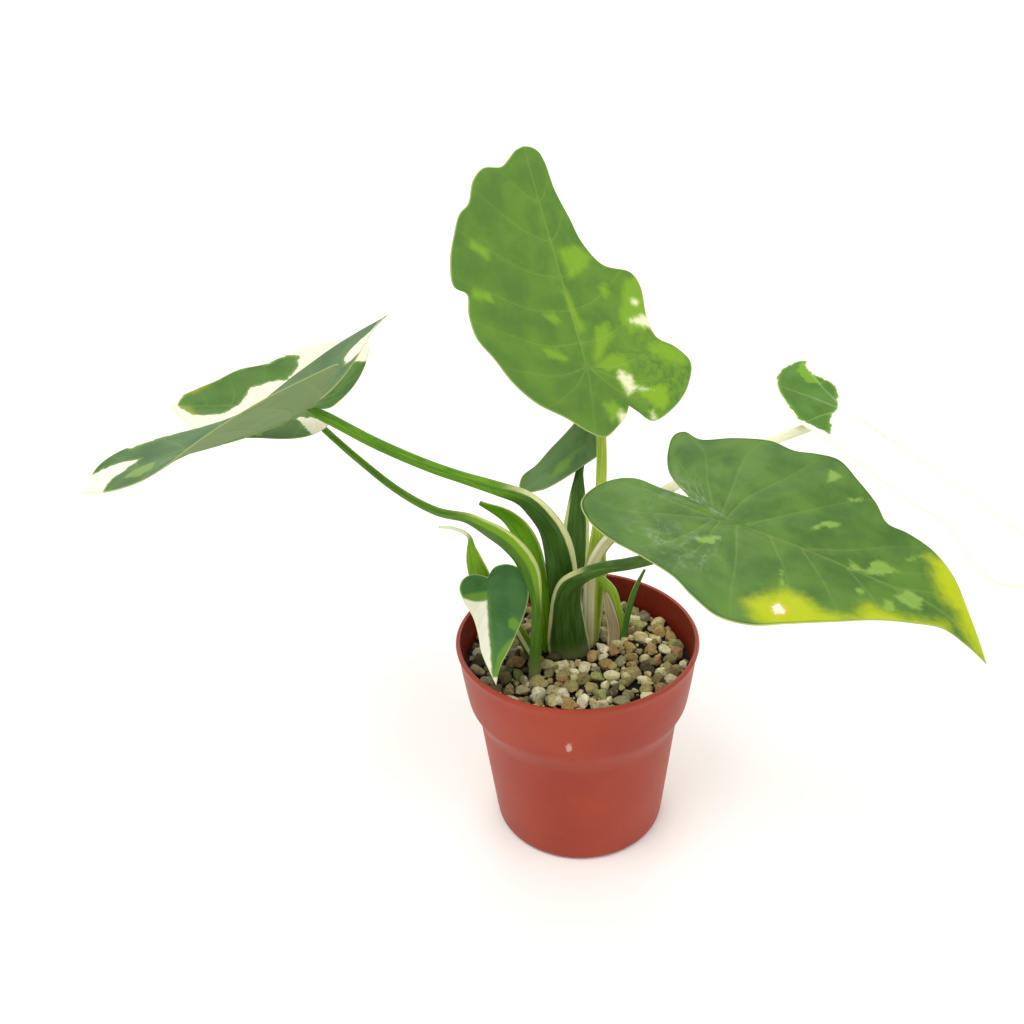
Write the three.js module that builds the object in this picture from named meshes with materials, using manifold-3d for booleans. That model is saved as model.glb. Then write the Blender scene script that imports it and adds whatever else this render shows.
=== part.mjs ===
// Potted Okinawa Silver alocasia: a young variegated giant taro in a 9 cm nursery pot.
// Millimetres, +Z up. The origin is the middle of the pot's base, on the pot's axis.
// Seen from the front, looking along +Y, +X is to the right.

import * as THREE from "three";
import { mergeVertices } from "three/addons/utils/BufferGeometryUtils.js";
import Module from "manifold-3d";

const wasm = await Module();
wasm.setup();

// Driving dimensions
const gap = 0.3;
const clearance = 0.35;
const bladeThickness = 1.0;
const bladeRings = [0.08, 0.35, 0.68, 1];
const footReach = 0.9;
const footGather = 0.6;
const stalkSteps = 15;
const stalkArcSteps = 6;

const potHeight = 81.5;
const potWall = 1.2;
const baseRadius = 32.7;
const baseRound = 1.9;
const bodyTopRadius = 38.1;
const bodyTopHeight = 49;
const collarRadius = 41.6;
const collarHeight = 56.5;
const rimRadius = 45;
const rimBand = 1.4;
const drainCount = 6;
const drainRadius = 4;
const drainCircle = 20;

const soilEdgeHeight = 67;
const mound = 3;
const bedThickness = 3.5;
const stoneCount = 72;
const stoneSmall = 3.2;
const stoneLarge = 4.4;
const stoneSeed = 9;

const cormCentre = [-3, 0];
const cormRadius = 12;
const cormTop = 68;
const cormBase = 47;
const rootCount = 5;
const rootRadius = 1.2;

// Leaves. Each blade is an outline on its own flat plane, with the stalk's joint at 0, 0, the tip
// ahead along x and the leaf's left side at +y. The left and right margins both run from the tip
// to the bottom of the notch between the two back lobes. The plane is then arched and folded.
// joint: where the stalk meets the blade. heading, pitch and roll turn the plane, in degrees.
// reach: the length that the curves are measured against.
// midrib: [distance ahead, distance to the left], from the joint toward the tip.
// arch: rise of the midrib with the square and the cube of the distance ahead, and with the
// square of the distance behind.
// foldLeft and foldRight: slope of each half, as a polynomial of the distance along the midrib.
// ripples: height, count and phase of the waves that grow toward the margin.
// A stalk's sizes are [share of its length, half width, half depth, hollow from -1 to 1].
const leaves = [
  {
    name: "leaf_right",
    joint: [44.5, -51.6, 153.6],
    heading: -37,
    pitch: -6,
    roll: 8,
    reach: 80,
    midrib: [[0, 0], [40, 1.5], [55, 2.8], [62, 1.8], [75, -6]],
    arch: [-12, 0, 0],
    foldLeft: [0.08],
    foldRight: [0.08],
    ripples: [[1.0, 5, 40], [0.8, 8, 10]],
    left: [
      [75, -6], [71, 0], [65, 8], [58, 17], [50, 23], [42, 25], [36, 25], [30, 31], [22, 37], [13, 43],
      [6, 42], [0, 40], [-9, 41], [-20, 37], [-29, 31], [-35, 32], [-37, 29], [-35, 21], [-29, 11],
      [-18, 3.6],
    ],
    right: [
      [75, -6], [69, -4], [62, -3], [54.5, -7.2], [47, -13], [37.6, -23.2], [29, -32], [22, -38.6],
      [14, -41.2], [5, -38], [-3.6, -33.2], [-14, -30.6], [-27, -28.6], [-37, -24], [-44, -17], [-45, -8],
      [-42, 0], [-37, 3.4], [-29, 3.2], [-18, 3.6],
    ],
    stalk: {
      path: [
        [-2, 2, 66], [-3.3, 1.5, 79], [-3.8, -1, 92], [-3.6, -3.5, 101], [-2, -6.5, 108.5], [2, -11, 114.5],
        [8, -18, 120.5], [15.5, -27, 127], [23, -37, 135], [33, -45, 144], [43.5, -51, 152.5],
      ],
      outward: [0.1, -0.95, -0.3],
      sizes: [
        [0, 8, 4.6, 0.1], [0.1, 7.8, 4.4, 0.2], [0.24, 5.8, 3.8, 0.2], [0.36, 4.6, 3.4, 0.1],
        [0.44, 3.3, 3, -0.4],
        [0.54, 2.1, 2.1, -1], [1, 1.8, 1.8, -1],
      ],
    },
  },
  {
    name: "leaf_top",
    joint: [7.5, 33.6, 173.6],
    heading: 114,
    pitch: 49,
    roll: 6,
    reach: 90,
    midrib: [[0, 0], [90.6, -6.3]],
    arch: [0, 0, 0],
    foldLeft: [0.1],
    foldRight: [0.1],
    ripples: [[1.2, 6, 0], [0.8, 9, 60]],
    left: [
      [90.6, -6.3], [88.7, -2], [85.3, 2], [81.6, 7], [81, 15], [76, 21], [67, 26], [63, 31], [55, 36],
      [45, 41], [35, 43], [32, 39],
      [24, 41], [15, 41], [7, 37], [-2, 33], [-11, 26], [-18, 16], [-24, 9], [-27, 3], [-24, -4],
      [-20.5, -8.8], [-17.5, -11],
    ],
    right: [
      [90.6, -6.3], [90.2, -9.8], [88.3, -12.3], [83.9, -13.4], [71.5, -13.2], [58, -15], [49, -16],
      [38, -21], [33, -31], [27, -33], [14, -31], [6, -32],
      [1, -38], [-6, -42], [-14, -38], [-21, -30], [-25, -18], [-21, -14.2], [-17.5, -11],
    ],
    stalk: {
      path: [
        [3, 9, 66], [6, 12, 82], [9, 17, 104], [11, 21, 126], [12, 26, 144], [11.5, 31, 158], [8, 33, 172],
      ],
      outward: [0.4, 0.9, 0],
      sizes: [
        [0, 5, 3, 0.2], [0.3, 4.6, 3, 0.2], [0.42, 3, 2.6, -0.4], [0.5, 2.1, 2.1, -1], [1, 1.7, 1.7, -1],
      ],
    },
  },
  {
    name: "leaf_high_left",
    joint: [-87, 0, 176.6],
    heading: 195.2,
    pitch: -23.6,
    roll: 15,
    reach: 74,
    midrib: [[0, 0], [77, 0]],
    arch: [37.5, -25.4, 52.5],
    foldLeft: [0.3, 0.15, -0.98],
    foldRight: [0.2, -0.25, -0.83, 1.75],
    ripples: [[0.5, 8, 50]],
    left: [
      [77, 0], [70, 8], [60, 16], [47, 26], [35, 34], [21, 41], [6, 45], [-6, 45.5], [-14, 44],
      [-17.5, 40.5], [-16, 34], [-12, 24.5], [-8, 14], [-5, 5], [-4, 1],
    ],
    right: [
      [77, 0], [72, -9], [62, -18], [48, -28], [34, -36], [20, -41], [5, -45], [-9, -44], [-23, -40],
      [-34, -34], [-38, -27], [-31, -17], [-20, -7], [-4, 1],
    ],
    stalk: {
      path: [
        [-6, 7, 66], [-5.5, 7, 83], [-5, 6, 97], [-5, 4, 112], [-7.2, 3, 124], [-12, 2, 133],
        [-18, 2, 139.3],
        [-26.5, 1, 143], [-36, 1, 146.8], [-49, 1, 152.5], [-66.5, 0, 162.6], [-80, 0, 171.6],
        [-85.8, 0, 175.5],
      ],
      outward: [-0.5, -0.8, -0.3],
      sizes: [
        [0, 6.4, 4, 0.1], [0.12, 6.6, 4.2, 0.2], [0.34, 6.3, 4, 0.3], [0.45, 5.4, 3.6, 0.2],
        [0.51, 4, 3.2, -0.2],
        [0.56, 2.5, 2.5, -1], [0.64, 2.05, 2.05, -1], [1, 1.9, 1.9, -1],
      ],
    },
  },
  {
    name: "leaf_low_left",
    joint: [-101, 58, 153.8],
    heading: 190,
    pitch: 8,
    roll: -12,
    reach: 60,
    midrib: [[0, 0], [49, -2.3]],
    arch: [-4, 0, 0],
    foldLeft: [0.1],
    foldRight: [0.2],
    ripples: [[0.7, 5, 0], [0.6, 7, 30]],
    left: [
      [49, -2.3], [44.5, 7.6], [38, 16], [31, 21], [23.5, 23], [16, 23.8], [7, 24.7], [-0.5, 23],
      [-6.5, 18],
      [-10, 10.5], [-5.7, 1.3],
    ],
    right: [
      [49, -2.3], [47, -8], [40.6, -12.4], [33, -16.4], [25, -21.7], [15, -25], [4.7, -32], [-6.7, -37.6],
      [-17.8, -40.6], [-27, -38], [-26, -27.5], [-20.7, -14], [-14.4, -4.5], [-10, 0.5], [-5.7, 1.3],
    ],
    stalk: {
      path: [
        [-16.8, -12, 66], [-15.4, -12, 88], [-14.5, -12, 104], [-15.6, -10, 113.3], [-18.4, -8, 120],
        [-23.7, -5, 125],
        [-29.4, -2, 128.6], [-37, 4, 130], [-49, 14, 128.3], [-63.6, 28, 130.3], [-79.4, 42, 137.6],
        [-90.5, 51, 144.5],
        [-100, 57.5, 152.6],
      ],
      outward: [-0.6, -0.7, -0.35],
      sizes: [
        [0, 2.4, 2.2, -0.7], [0.17, 2, 2, -0.7], [0.24, 2.2, 2.2, -0.4], [0.3, 4.2, 3, 0.1],
        [0.35, 4.8, 3.2, 0.2],
        [0.4, 4.2, 2.8, 0.1], [0.45, 2.6, 2.2, -0.6], [0.49, 1.5, 1.5, -1], [1, 1.3, 1.3, -1],
      ],
    },
  },
  {
    name: "leaf_white",
    joint: [103.6, 33.2, 151.3],
    heading: -48,
    pitch: -18,
    roll: 10,
    reach: 85,
    midrib: [[0, 0], [101, 0]],
    arch: [-6, 0, 0],
    foldLeft: [0.08],
    foldRight: [0.08],
    ripples: [[0.8, 5, 0], [0.6, 8, 30]],
    left: [
      [101, 0], [96, 9], [87, 19], [72, 31], [56, 38], [40, 43], [26, 45], [4, 45], [-10, 41], [-17, 32],
      [-20, 22],
      [-18, 12], [-10, 6],
    ],
    right: [
      [101, 0], [95, -8], [85, -19], [77, -26], [66, -24], [55, -19], [42, -21], [24, -21], [5, -20],
      [-8, -20],
      [-17, -15], [-25, -10], [-30, -4], [-31, 3], [-29, 10], [-25, 13], [-20, 11.4], [-10, 6],
    ],
    stalk: {
      path: [
        [6, 6, 66], [6.5, 7, 83], [6.5, 10, 95], [7.5, 13, 104], [12, 17, 110], [22, 21, 117],
        [38, 25, 128],
        [66, 28, 140], [90, 31.5, 147], [102.5, 33, 150.3],
      ],
      outward: [0.35, -0.9, -0.3],
      sizes: [
        [0, 3.4, 2.2, 0], [0.16, 4, 2.4, 0.2], [0.26, 4, 2.6, 0.1], [0.36, 3, 2.4, -0.4],
        [0.45, 2.1, 2.1, -1],
        [1, 1.7, 1.7, -1],
      ],
    },
  },
  {
    name: "leaf_back",
    joint: [9, 49, 137.2],
    heading: 205,
    pitch: -28,
    roll: -20,
    reach: 40,
    midrib: [[0, 0], [34, -3]],
    arch: [-3, 0, 0],
    foldLeft: [0.1],
    foldRight: [0.1],
    ripples: [[0.4, 5, 0]],
    left: [
      [34, -3], [29, 1], [24.6, 4], [19.5, 5.6], [13.5, 6.8], [7, 7.6], [2.5, 8.2], [-1.5, 7.8],
      [-3.6, 5.5], [-4.5, 2.5], [-4, 0.2],
    ],
    right: [
      [34, -3], [28, -7.8], [21, -7.4], [13, -8.6], [6, -9.4], [0, -10.4], [-8, -12], [-14, -11],
      [-16, -5], [-4, 0.2],
    ],
    stalk: {
      path: [
        [-3, 10, 66], [-1, 12, 82], [1.4, 20, 98], [2.6, 29, 112], [4, 38, 122], [6, 46, 130],
        [8.6, 49.5, 135.8],
      ],
      outward: [0.1, 0.9, -0.4],
      sizes: [
        [0, 3.4, 2.4, 0], [0.3, 4.6, 2.6, 0.1], [0.6, 5, 2.6, 0.2], [0.75, 3, 2.2, -0.4],
        [0.85, 1.6, 1.6, -1],
        [1, 1.4, 1.4, -1],
      ],
    },
  },
  {
    name: "leaf_folded",
    joint: [-31.7, -4.6, 108.3],
    heading: -90,
    pitch: -50,
    roll: 0,
    reach: 42,
    midrib: [[0, 0], [36.1, 1.5]],
    arch: [0, 0, 0],
    foldLeft: [-0.1],
    foldRight: [0.9],
    ripples: [[0.3, 4, 0]],
    left: [
      [36.1, 1.5], [30, 3.1], [24, 6.5], [16.4, 10.5], [8.7, 13.6], [3.1, 14.6], [-2, 14], [-5, 11.5],
      [-6.6, 7.2], [-5.6, 2.6], [-2.2, 0.2],
    ],
    right: [
      [36.1, 1.5], [29.9, -1.1], [24.3, -3.2], [18.6, -4], [12.4, -5.5], [6.2, -8.7], [2, -9.8],
      [-1.3, -8.4],
      [-3, -5.7], [-3, -2.5], [-2.2, 0.2],
    ],
    stalk: {
      path: [[-13, 0, 66], [-18, -1, 76], [-23, -1.5, 88], [-28, -1, 99], [-31.7, -3.9, 107.6]],
      outward: [-0.7, -0.2, -0.5],
      sizes: [[0, 2.2, 1.8, -0.6], [0.5, 2.2, 1.6, -0.6], [1, 1.2, 1.2, -1]],
    },
  },
];

// Narrow leaves with no separate stalk: the rolled new leaf, the slip behind the folded leaf,
// the two leaves of the offset shoot, and the dry scale beside it.
const narrowLeaves = [
  {
    name: "leaf_slip",
    path: [
      [-11, 4, 66], [-20.9, 3, 82], [-27.8, 4, 95], [-33.3, 4, 102.5], [-35.6, 4, 110.5], [-36.8, 4, 117.5],
      [-37.6, 4, 123], [-43, 4, 126.5], [-48, 4, 127.3],
    ],
    outward: [-0.3, -0.9, 0.2],
    sizes: [
      [0, 1.6, 1.2, 0], [0.35, 2, 1.2, 0], [0.52, 3.4, 1.3, 0.3], [0.64, 4.2, 1.3, 0.3],
      [0.73, 3, 1.2, 0.3],
      [0.82, 0.9, 0.8, 0], [1, 0.5, 0.5, -1],
    ],
    color: "#6f9a1c",
  },
  {
    name: "leaf_new",
    path: [
      [-12, 5, 66], [-12, 5, 80], [-12.4, 6, 95], [-14.7, 6.5, 108.5], [-17.6, 7, 120], [-23.3, 7, 128.5],
      [-33, 7, 134.6],
    ],
    outward: [-0.2, -0.9, -0.2],
    sizes: [
      [0, 2, 1.6, 0], [0.3, 3, 1.8, 0], [0.6, 4.4, 1.6, 0.2], [0.78, 4, 1.5, 0.2], [0.9, 2.6, 1.2, 0],
      [1, 0.8, 0.8, -1],
    ],
    color: "#5f8f10",
  },
  {
    name: "offset_leaf_left",
    path: [[15.5, 6, 66], [17.6, 9, 75], [16.1, 10, 84.6], [13.6, 11, 93], [9.9, 12, 97.5], [5, 12, 100]],
    outward: [0.2, -0.9, 0.3],
    sizes: [[0, 1.6, 1.2, 0], [0.3, 1.9, 1.2, 0.2], [0.7, 2.3, 1.1, 0.2], [1, 1, 0.7, 0]],
    color: "#8aa62c",
  },
  {
    name: "offset_leaf_right",
    path: [[18.5, 5, 66], [19, 9, 76.4], [20.8, 11, 84.6], [23.3, 13, 92], [27, 15, 99]],
    outward: [0.5, -0.8, 0],
    sizes: [[0, 1.5, 1.2, 0], [0.3, 1.6, 1.2, 0.2], [0.7, 1.5, 1, 0.2], [1, 0.6, 0.6, 0]],
    color: "#3f6e26",
  },
  {
    name: "dry_scale",
    path: [[13.6, 3, 68], [14.4, 6, 78], [13.2, 7, 86], [11.5, 8, 94]],
    outward: [0.2, -0.9, 0.2],
    sizes: [[0, 2.2, 0.8, 0], [0.4, 2.4, 0.8, 0.1], [0.8, 1.8, 0.7, 0.1], [1, 0.7, 0.5, 0]],
    color: "#b9a58e",
  },
];

// Materials
const finish = (color, roughness) => new THREE.MeshStandardMaterial({ color, roughness, metalness: 0 });
const leafColors = {
  leaf_right: "#5c8f45",
  leaf_top: "#629a38",
  leaf_high_left: "#7c9668",
  leaf_low_left: "#73994d",
  leaf_white: "#efeedc",
  leaf_back: "#567a44",
  leaf_folded: "#4a7d4a",
};
const stalkColors = {
  leaf_right: "#4a6d2e",
  leaf_top: "#8fab3c",
  leaf_high_left: "#4d7426",
  leaf_low_left: "#5b7f3a",
  leaf_white: "#d9d3ac",
  leaf_back: "#3f6320",
  leaf_folded: "#54793a",
};

const plant = new THREE.Group();

function addPiece(name, geometry, material) {
  const mesh = new THREE.Mesh(geometry, material);
  mesh.name = name;
  plant.add(mesh);
}

// Solids
function toSolid(geometry) {
  const bare = geometry.clone();
  bare.deleteAttribute("normal");
  bare.deleteAttribute("uv");
  const merged = mergeVertices(bare, 1e-4);
  const solid = new wasm.Manifold(new wasm.Mesh({
    numProp: 3,
    vertProperties: new Float32Array(merged.attributes.position.array),
    triVerts: new Uint32Array(merged.index.array),
  }));
  return solid;
}

function toGeometry(solid) {
  const mesh = solid.getMesh();
  const geometry = new THREE.BufferGeometry();
  geometry.setAttribute("position", new THREE.BufferAttribute(new Float32Array(mesh.vertProperties), 3));
  geometry.setIndex(new THREE.BufferAttribute(new Uint32Array(mesh.triVerts), 1));
  geometry.computeVertexNormals();
  return geometry;
}

function largestPart(solid) {
  const parts = solid.decompose();
  return parts.reduce((best, part) => (part.volume() > best.volume() ? part : best));
}

// A closed body from position and triangle lists, turned so that its faces point out.
function closedBody(points, triangles) {
  let volume = 0;
  for (let i = 0; i < triangles.length; i += 3) {
    const [a, b, c] = [triangles[i], triangles[i + 1], triangles[i + 2]].map((index) => points[index]);
    volume += a.dot(new THREE.Vector3().crossVectors(b, c));
  }
  const index = volume > 0 ? triangles : triangles.slice().reverse();
  const geometry = new THREE.BufferGeometry();
  const numbers = points.flatMap((point) => point.toArray());
  geometry.setAttribute("position", new THREE.Float32BufferAttribute(numbers, 3));
  geometry.setIndex(index);
  return geometry;
}

// A body through rings of equal point counts, closed by a fan at each end.
function loft(rings) {
  const count = rings[0].length;
  const points = rings.flat();
  const triangles = [];
  for (let r = 0; r < rings.length - 1; r += 1) {
    for (let i = 0; i < count; i += 1) {
      const a = r * count + i;
      const b = r * count + ((i + 1) % count);
      triangles.push(a, b, a + count, b, b + count, a + count);
    }
  }
  [0, rings.length - 1].forEach((r, end) => {
    const centre = new THREE.Vector3();
    rings[r].forEach((p) => centre.addScaledVector(p, 1 / count));
    const hub = points.push(centre) - 1;
    for (let i = 0; i < count; i += 1) {
      const a = r * count + i;
      const b = r * count + ((i + 1) % count);
      triangles.push(...(end ? [a, b, hub] : [b, a, hub]));
    }
  });
  return closedBody(points, triangles);
}

function smoothCurve(points) {
  const corners = points.map(([x, y, z]) => new THREE.Vector3(x, y, z));
  return new THREE.CatmullRomCurve3(corners, false, "centripetal");
}

function between(sizes, share) {
  const next = Math.max(1, sizes.findIndex(([t]) => t >= share));
  const [low, high] = [sizes[next - 1], sizes[next]];
  const blend = (share - low[0]) / (high[0] - low[0]);
  return low.slice(1).map((value, i) => value + (high[i + 1] - value) * blend);
}

// A stalk: a half-open sheath at its foot that closes to a round stem. The sheath's back is a
// half ellipse, and its inner face the same ellipse pushed in by the hollow.
function stalkSolid({ path, outward, sizes }, steps, grow = 0, arcSteps = stalkArcSteps) {
  const curve = smoothCurve(path);
  const reference = new THREE.Vector3(...outward);
  const rings = [];
  for (let i = 0; i <= steps; i += 1) {
    const share = i / steps;
    const centre = curve.getPointAt(share);
    const along = curve.getTangentAt(share);
    const out = reference.clone().addScaledVector(along, -reference.dot(along)).normalize();
    const side = new THREE.Vector3().crossVectors(along, out);
    const [width, depth, hollow] = between(sizes, share);
    if (grow && i === 0) {
      centre.addScaledVector(along, -grow);
    }
    if (grow && i === steps) {
      centre.addScaledVector(along, grow);
    }
    const edge = -grow * (1 + Math.min(hollow, 0));
    const ring = [[-width - grow, edge]];
    const turn = Math.PI / arcSteps;
    for (let k = 1; k < arcSteps; k += 1) {
      const angle = k * turn - Math.PI / 2;
      ring.push([Math.sin(angle) * (width + grow), Math.cos(angle) * (depth + grow)]);
    }
    ring.push([width + grow, edge]);
    for (let k = arcSteps - 1; k > 0; k -= 1) {
      const angle = k * turn - Math.PI / 2;
      ring.push([Math.sin(angle) * (width + grow), Math.cos(angle) * depth * hollow - grow]);
    }
    rings.push(ring.map(([s, o]) => centre.clone().addScaledVector(side, s).addScaledVector(out, o)));
  }
  return toSolid(loft(rings));
}

// A blade's frame: ahead to the tip, left across, and up from the upper face.
function bladeFrame({ heading, pitch, roll }) {
  const [h, p, r] = [heading, pitch, roll].map(THREE.MathUtils.degToRad);
  const ahead = new THREE.Vector3(Math.cos(p) * Math.cos(h), Math.cos(p) * Math.sin(h), Math.sin(p));
  const level = new THREE.Vector3(-Math.sin(h), Math.cos(h), 0);
  const lift = new THREE.Vector3().crossVectors(ahead, level);
  const left = level.multiplyScalar(Math.cos(r)).addScaledVector(lift, Math.sin(r));
  const up = new THREE.Vector3().crossVectors(ahead, left);
  return { ahead, left, up };
}

function polynomial(coefficients, value) {
  return coefficients.reduceRight((sum, coefficient) => sum * value + coefficient, 0);
}

function bladeHeight(leaf, x, y) {
  const softness = 5;
  const t = x / leaf.reach;
  const [square, cube, behind] = leaf.arch;
  const arch = x > 0 ? square * t ** 2 + cube * t ** 3 : behind * t ** 2;
  const slope = polynomial(y > 0 ? leaf.foldLeft : leaf.foldRight, t);
  const side = Math.hypot(y, softness) - softness;
  const growth = (Math.hypot(x, y) / leaf.reach) ** 3;
  const angle = Math.atan2(y, x);
  const waves = leaf.ripples.reduce((sum, [height, count, phase]) => {
    const wave = Math.sin(count * angle + THREE.MathUtils.degToRad(phase));
    return sum + height * wave;
  }, 0);
  return arch + slope * side + growth * waves;
}

function margin(leaf) {
  const corners = [...leaf.right.slice(1).reverse(), ...leaf.left.slice(0, -1)];
  return corners.map(([x, y]) => new THREE.Vector2(x, y));
}

// Where the line of triangles from a margin point meets the midrib.
function ribFoot(leaf, x) {
  const [tipAhead] = leaf.left[0];
  const ahead = x > 0 ? footReach * x * (x / tipAhead) ** footGather : 0;
  const [across] = between(leaf.midrib, ahead);
  return new THREE.Vector2(ahead, across);
}

// A blade in bands between copies of its margin drawn in toward the midrib.
function bladeSolid(leaf, { thickness = bladeThickness, spread = 0 } = {}) {
  const { ahead, left, up } = bladeFrame(leaf);
  const outline = margin(leaf);
  const feet = outline.map(({ x }) => ribFoot(leaf, x));
  const joint = new THREE.Vector3(...leaf.joint);
  const place = ({ x, y }, lift) => joint.clone()
    .addScaledVector(ahead, x)
    .addScaledVector(left, y)
    .addScaledVector(up, bladeHeight(leaf, x, y) + lift);
  const rings = bladeRings.map((share) => outline.map((corner, i) => {
    const rung = corner.clone().sub(feet[i]);
    return feet[i].clone().addScaledVector(rung, share * (1 + spread / rung.length()));
  }));
  const core = THREE.ShapeUtils.triangulateShape(rings[0], []);
  const count = outline.length;
  const points = [];
  const triangles = [];
  [1, -1].forEach((face) => {
    const start = points.length;
    const turned = (a, b, c) => (face > 0 ? [a, b, c] : [a, c, b]);
    rings.forEach((ring) => ring.forEach((corner) => points.push(place(corner, (face * thickness) / 2))));
    core.forEach(([a, b, c]) => triangles.push(...turned(start + a, start + b, start + c)));
    for (let r = 0; r < rings.length - 1; r += 1) {
      for (let i = 0; i < count; i += 1) {
        const a = start + r * count + i;
        const b = start + r * count + ((i + 1) % count);
        triangles.push(...turned(a, a + count, b), ...turned(b, a + count, b + count));
      }
    }
  });
  const upper = (rings.length - 1) * count;
  const lower = upper + rings.length * count;
  for (let i = 0; i < count; i += 1) {
    const j = (i + 1) % count;
    triangles.push(upper + i, lower + i, upper + j, upper + j, lower + i, lower + j);
  }
  return toSolid(closedBody(points, triangles));
}

// Round bodies stand on +Z.
function turnedBody(profile, segments) {
  const corners = profile.map(([radius, height]) => new THREE.Vector2(radius, height));
  return toSolid(new THREE.LatheGeometry(corners, segments).rotateX(Math.PI / 2));
}

function peg(radius, bottom, top, x, y) {
  const segments = 14;
  const shape = new THREE.CylinderGeometry(radius, radius, top - bottom, segments);
  return toSolid(shape.rotateX(Math.PI / 2).translate(x, y, (top + bottom) / 2));
}

// Pot
function innerRadius(height) {
  const [low, high] = height < bodyTopHeight
    ? [[0, baseRadius], [bodyTopHeight, bodyTopRadius]]
    : [[collarHeight, collarRadius], [potHeight, rimRadius]];
  return low[1] + ((high[1] - low[1]) * (height - low[0])) / (high[0] - low[0]) - potWall;
}

function makePot() {
  const segments = 40;
  const rimInner = rimRadius - potWall;
  const profile = [
    [0, 0],
    [baseRadius - baseRound, 0],
    [baseRadius - baseRound * 0.3, baseRound * 0.3],
    [baseRadius + 0.3, baseRound],
    [bodyTopRadius, bodyTopHeight],
    [bodyTopRadius + 1, bodyTopHeight + 2.6],
    [collarRadius - 0.5, collarHeight - 1.4],
    [collarRadius, collarHeight],
    [rimRadius - 0.5, potHeight - rimBand],
    [rimRadius, potHeight - rimBand * 0.6],
    [rimRadius - 0.2, potHeight],
    [rimInner - 0.4, potHeight],
    [innerRadius(collarHeight), collarHeight],
    [bodyTopRadius - potWall + 0.4, bodyTopHeight + 2],
    [innerRadius(bodyTopHeight - 0.1), bodyTopHeight - 0.6],
    [innerRadius(baseRound), baseRound + potWall],
    [innerRadius(0) - baseRound, potWall],
    [0, potWall],
  ];
  let pot = turnedBody(profile, segments);
  for (let i = 0; i < drainCount; i += 1) {
    const angle = (i * 2 * Math.PI) / drainCount;
    const [x, y] = [drainCircle * Math.cos(angle), drainCircle * Math.sin(angle)];
    pot = pot.subtract(peg(drainRadius, -1, potWall + 1, x, y));
  }
  return pot;
}

// Corm and roots
function cormProfile(grow) {
  return [
    [0, cormBase - grow],
    [cormRadius * 0.45, cormBase + 1 - grow],
    [cormRadius * 0.85 + grow, cormBase + 6],
    [cormRadius + grow, cormBase + 13],
    [cormRadius * 0.92 + grow, cormTop - 3 + grow],
    [cormRadius * 0.6 + grow, cormTop - 0.6 + grow],
    [0, cormTop + grow],
  ];
}

function rootStrand(index, grow) {
  const angle = (index * 2 * Math.PI) / rootCount + 0.3;
  const depth = 34 - 4 * (index % 3);
  const path = [6, 15, 22, 26].map((radius, step) => {
    const sway = angle + 0.22 * step * (index % 2 ? 1 : -1);
    const height = [cormBase + 5, cormBase + 1, cormBase - depth * 0.45, cormBase - depth][step];
    return [radius * Math.cos(sway), radius * Math.sin(sway), height];
  });
  const sizes = [[0, rootRadius * 1.6, rootRadius * 1.6, -1], [1, rootRadius * 0.6, rootRadius * 0.6, -1]];
  const placed = path.map(([x, y, z]) => [x + cormCentre[0], y + cormCentre[1], z]);
  const outward = [-Math.sin(angle), Math.cos(angle), 0];
  return stalkSolid({ path: placed, outward, sizes }, 3, grow, 2);
}

function makeCorm(grow = 0) {
  let corm = turnedBody(cormProfile(grow), 14).translate([...cormCentre, 0]);
  for (let i = 0; i < rootCount; i += 1) {
    corm = corm.add(rootStrand(i, grow));
  }
  return corm;
}

// Soil and grit share one mounded top.
function moundHeight(radius) {
  return soilEdgeHeight + mound * (1 - (radius / rimRadius) ** 2);
}

function makeSoil() {
  const half = innerRadius(soilEdgeHeight) / 2;
  const profile = [
    [0, potWall + gap],
    [innerRadius(0) - baseRound - gap, potWall + gap],
    [innerRadius(baseRound) - gap, baseRound + potWall + gap],
    [innerRadius(bodyTopHeight - 0.1) - gap - 0.2, bodyTopHeight],
    [bodyTopRadius - potWall - gap, bodyTopHeight + 2.4],
    [innerRadius(collarHeight) - gap - 0.4, collarHeight + 1],
    [innerRadius(soilEdgeHeight) - gap - 0.2, moundHeight(innerRadius(soilEdgeHeight))],
    [half, moundHeight(half)],
    [0, moundHeight(0)],
  ];
  return turnedBody(profile, 28);
}

function seededRandom(seed) {
  let state = seed;
  return () => {
    state = (state * 1664525 + 1013904223) % 4294967296;
    return state / 4294967296;
  };
}

// Grit: stones sunk into one bed, spread by the golden angle.
function makeGrit() {
  const edge = innerRadius(soilEdgeHeight + bedThickness) - gap - 0.4;
  const half = edge / 2;
  const profile = [
    [0, moundHeight(0) + gap],
    [half, moundHeight(half) + gap],
    [edge * 0.985, moundHeight(edge) + gap],
    [edge, moundHeight(edge) + bedThickness],
    [half, moundHeight(half) + bedThickness],
    [0, moundHeight(0) + bedThickness],
  ];
  const bed = turnedBody(profile, 28);
  const random = seededRandom(stoneSeed);
  const goldenAngle = Math.PI * (3 - Math.sqrt(5));
  const stones = [];
  for (let i = 0; i < stoneCount; i += 1) {
    const size = stoneSmall + (stoneLarge - stoneSmall) * random() ** 1.6;
    const radius = (edge - size - 0.4) * Math.sqrt((i + 0.5) / stoneCount);
    const angle = i * goldenAngle + 0.2 * random();
    const stretch = [1, 0.75 + 0.25 * random(), 0.7 + 0.25 * random()];
    const stone = new THREE.IcosahedronGeometry(size, 0);
    stone.scale(...stretch);
    stone.rotateX(random() * Math.PI).rotateZ(random() * Math.PI * 2);
    const height = moundHeight(radius) + bedThickness + size * (0.1 + 0.35 * random());
    stone.translate(radius * Math.cos(angle), radius * Math.sin(angle), height);
    stones.push(toSolid(stone));
  }
  return wasm.Manifold.union([bed, ...stones]);
}

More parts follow.
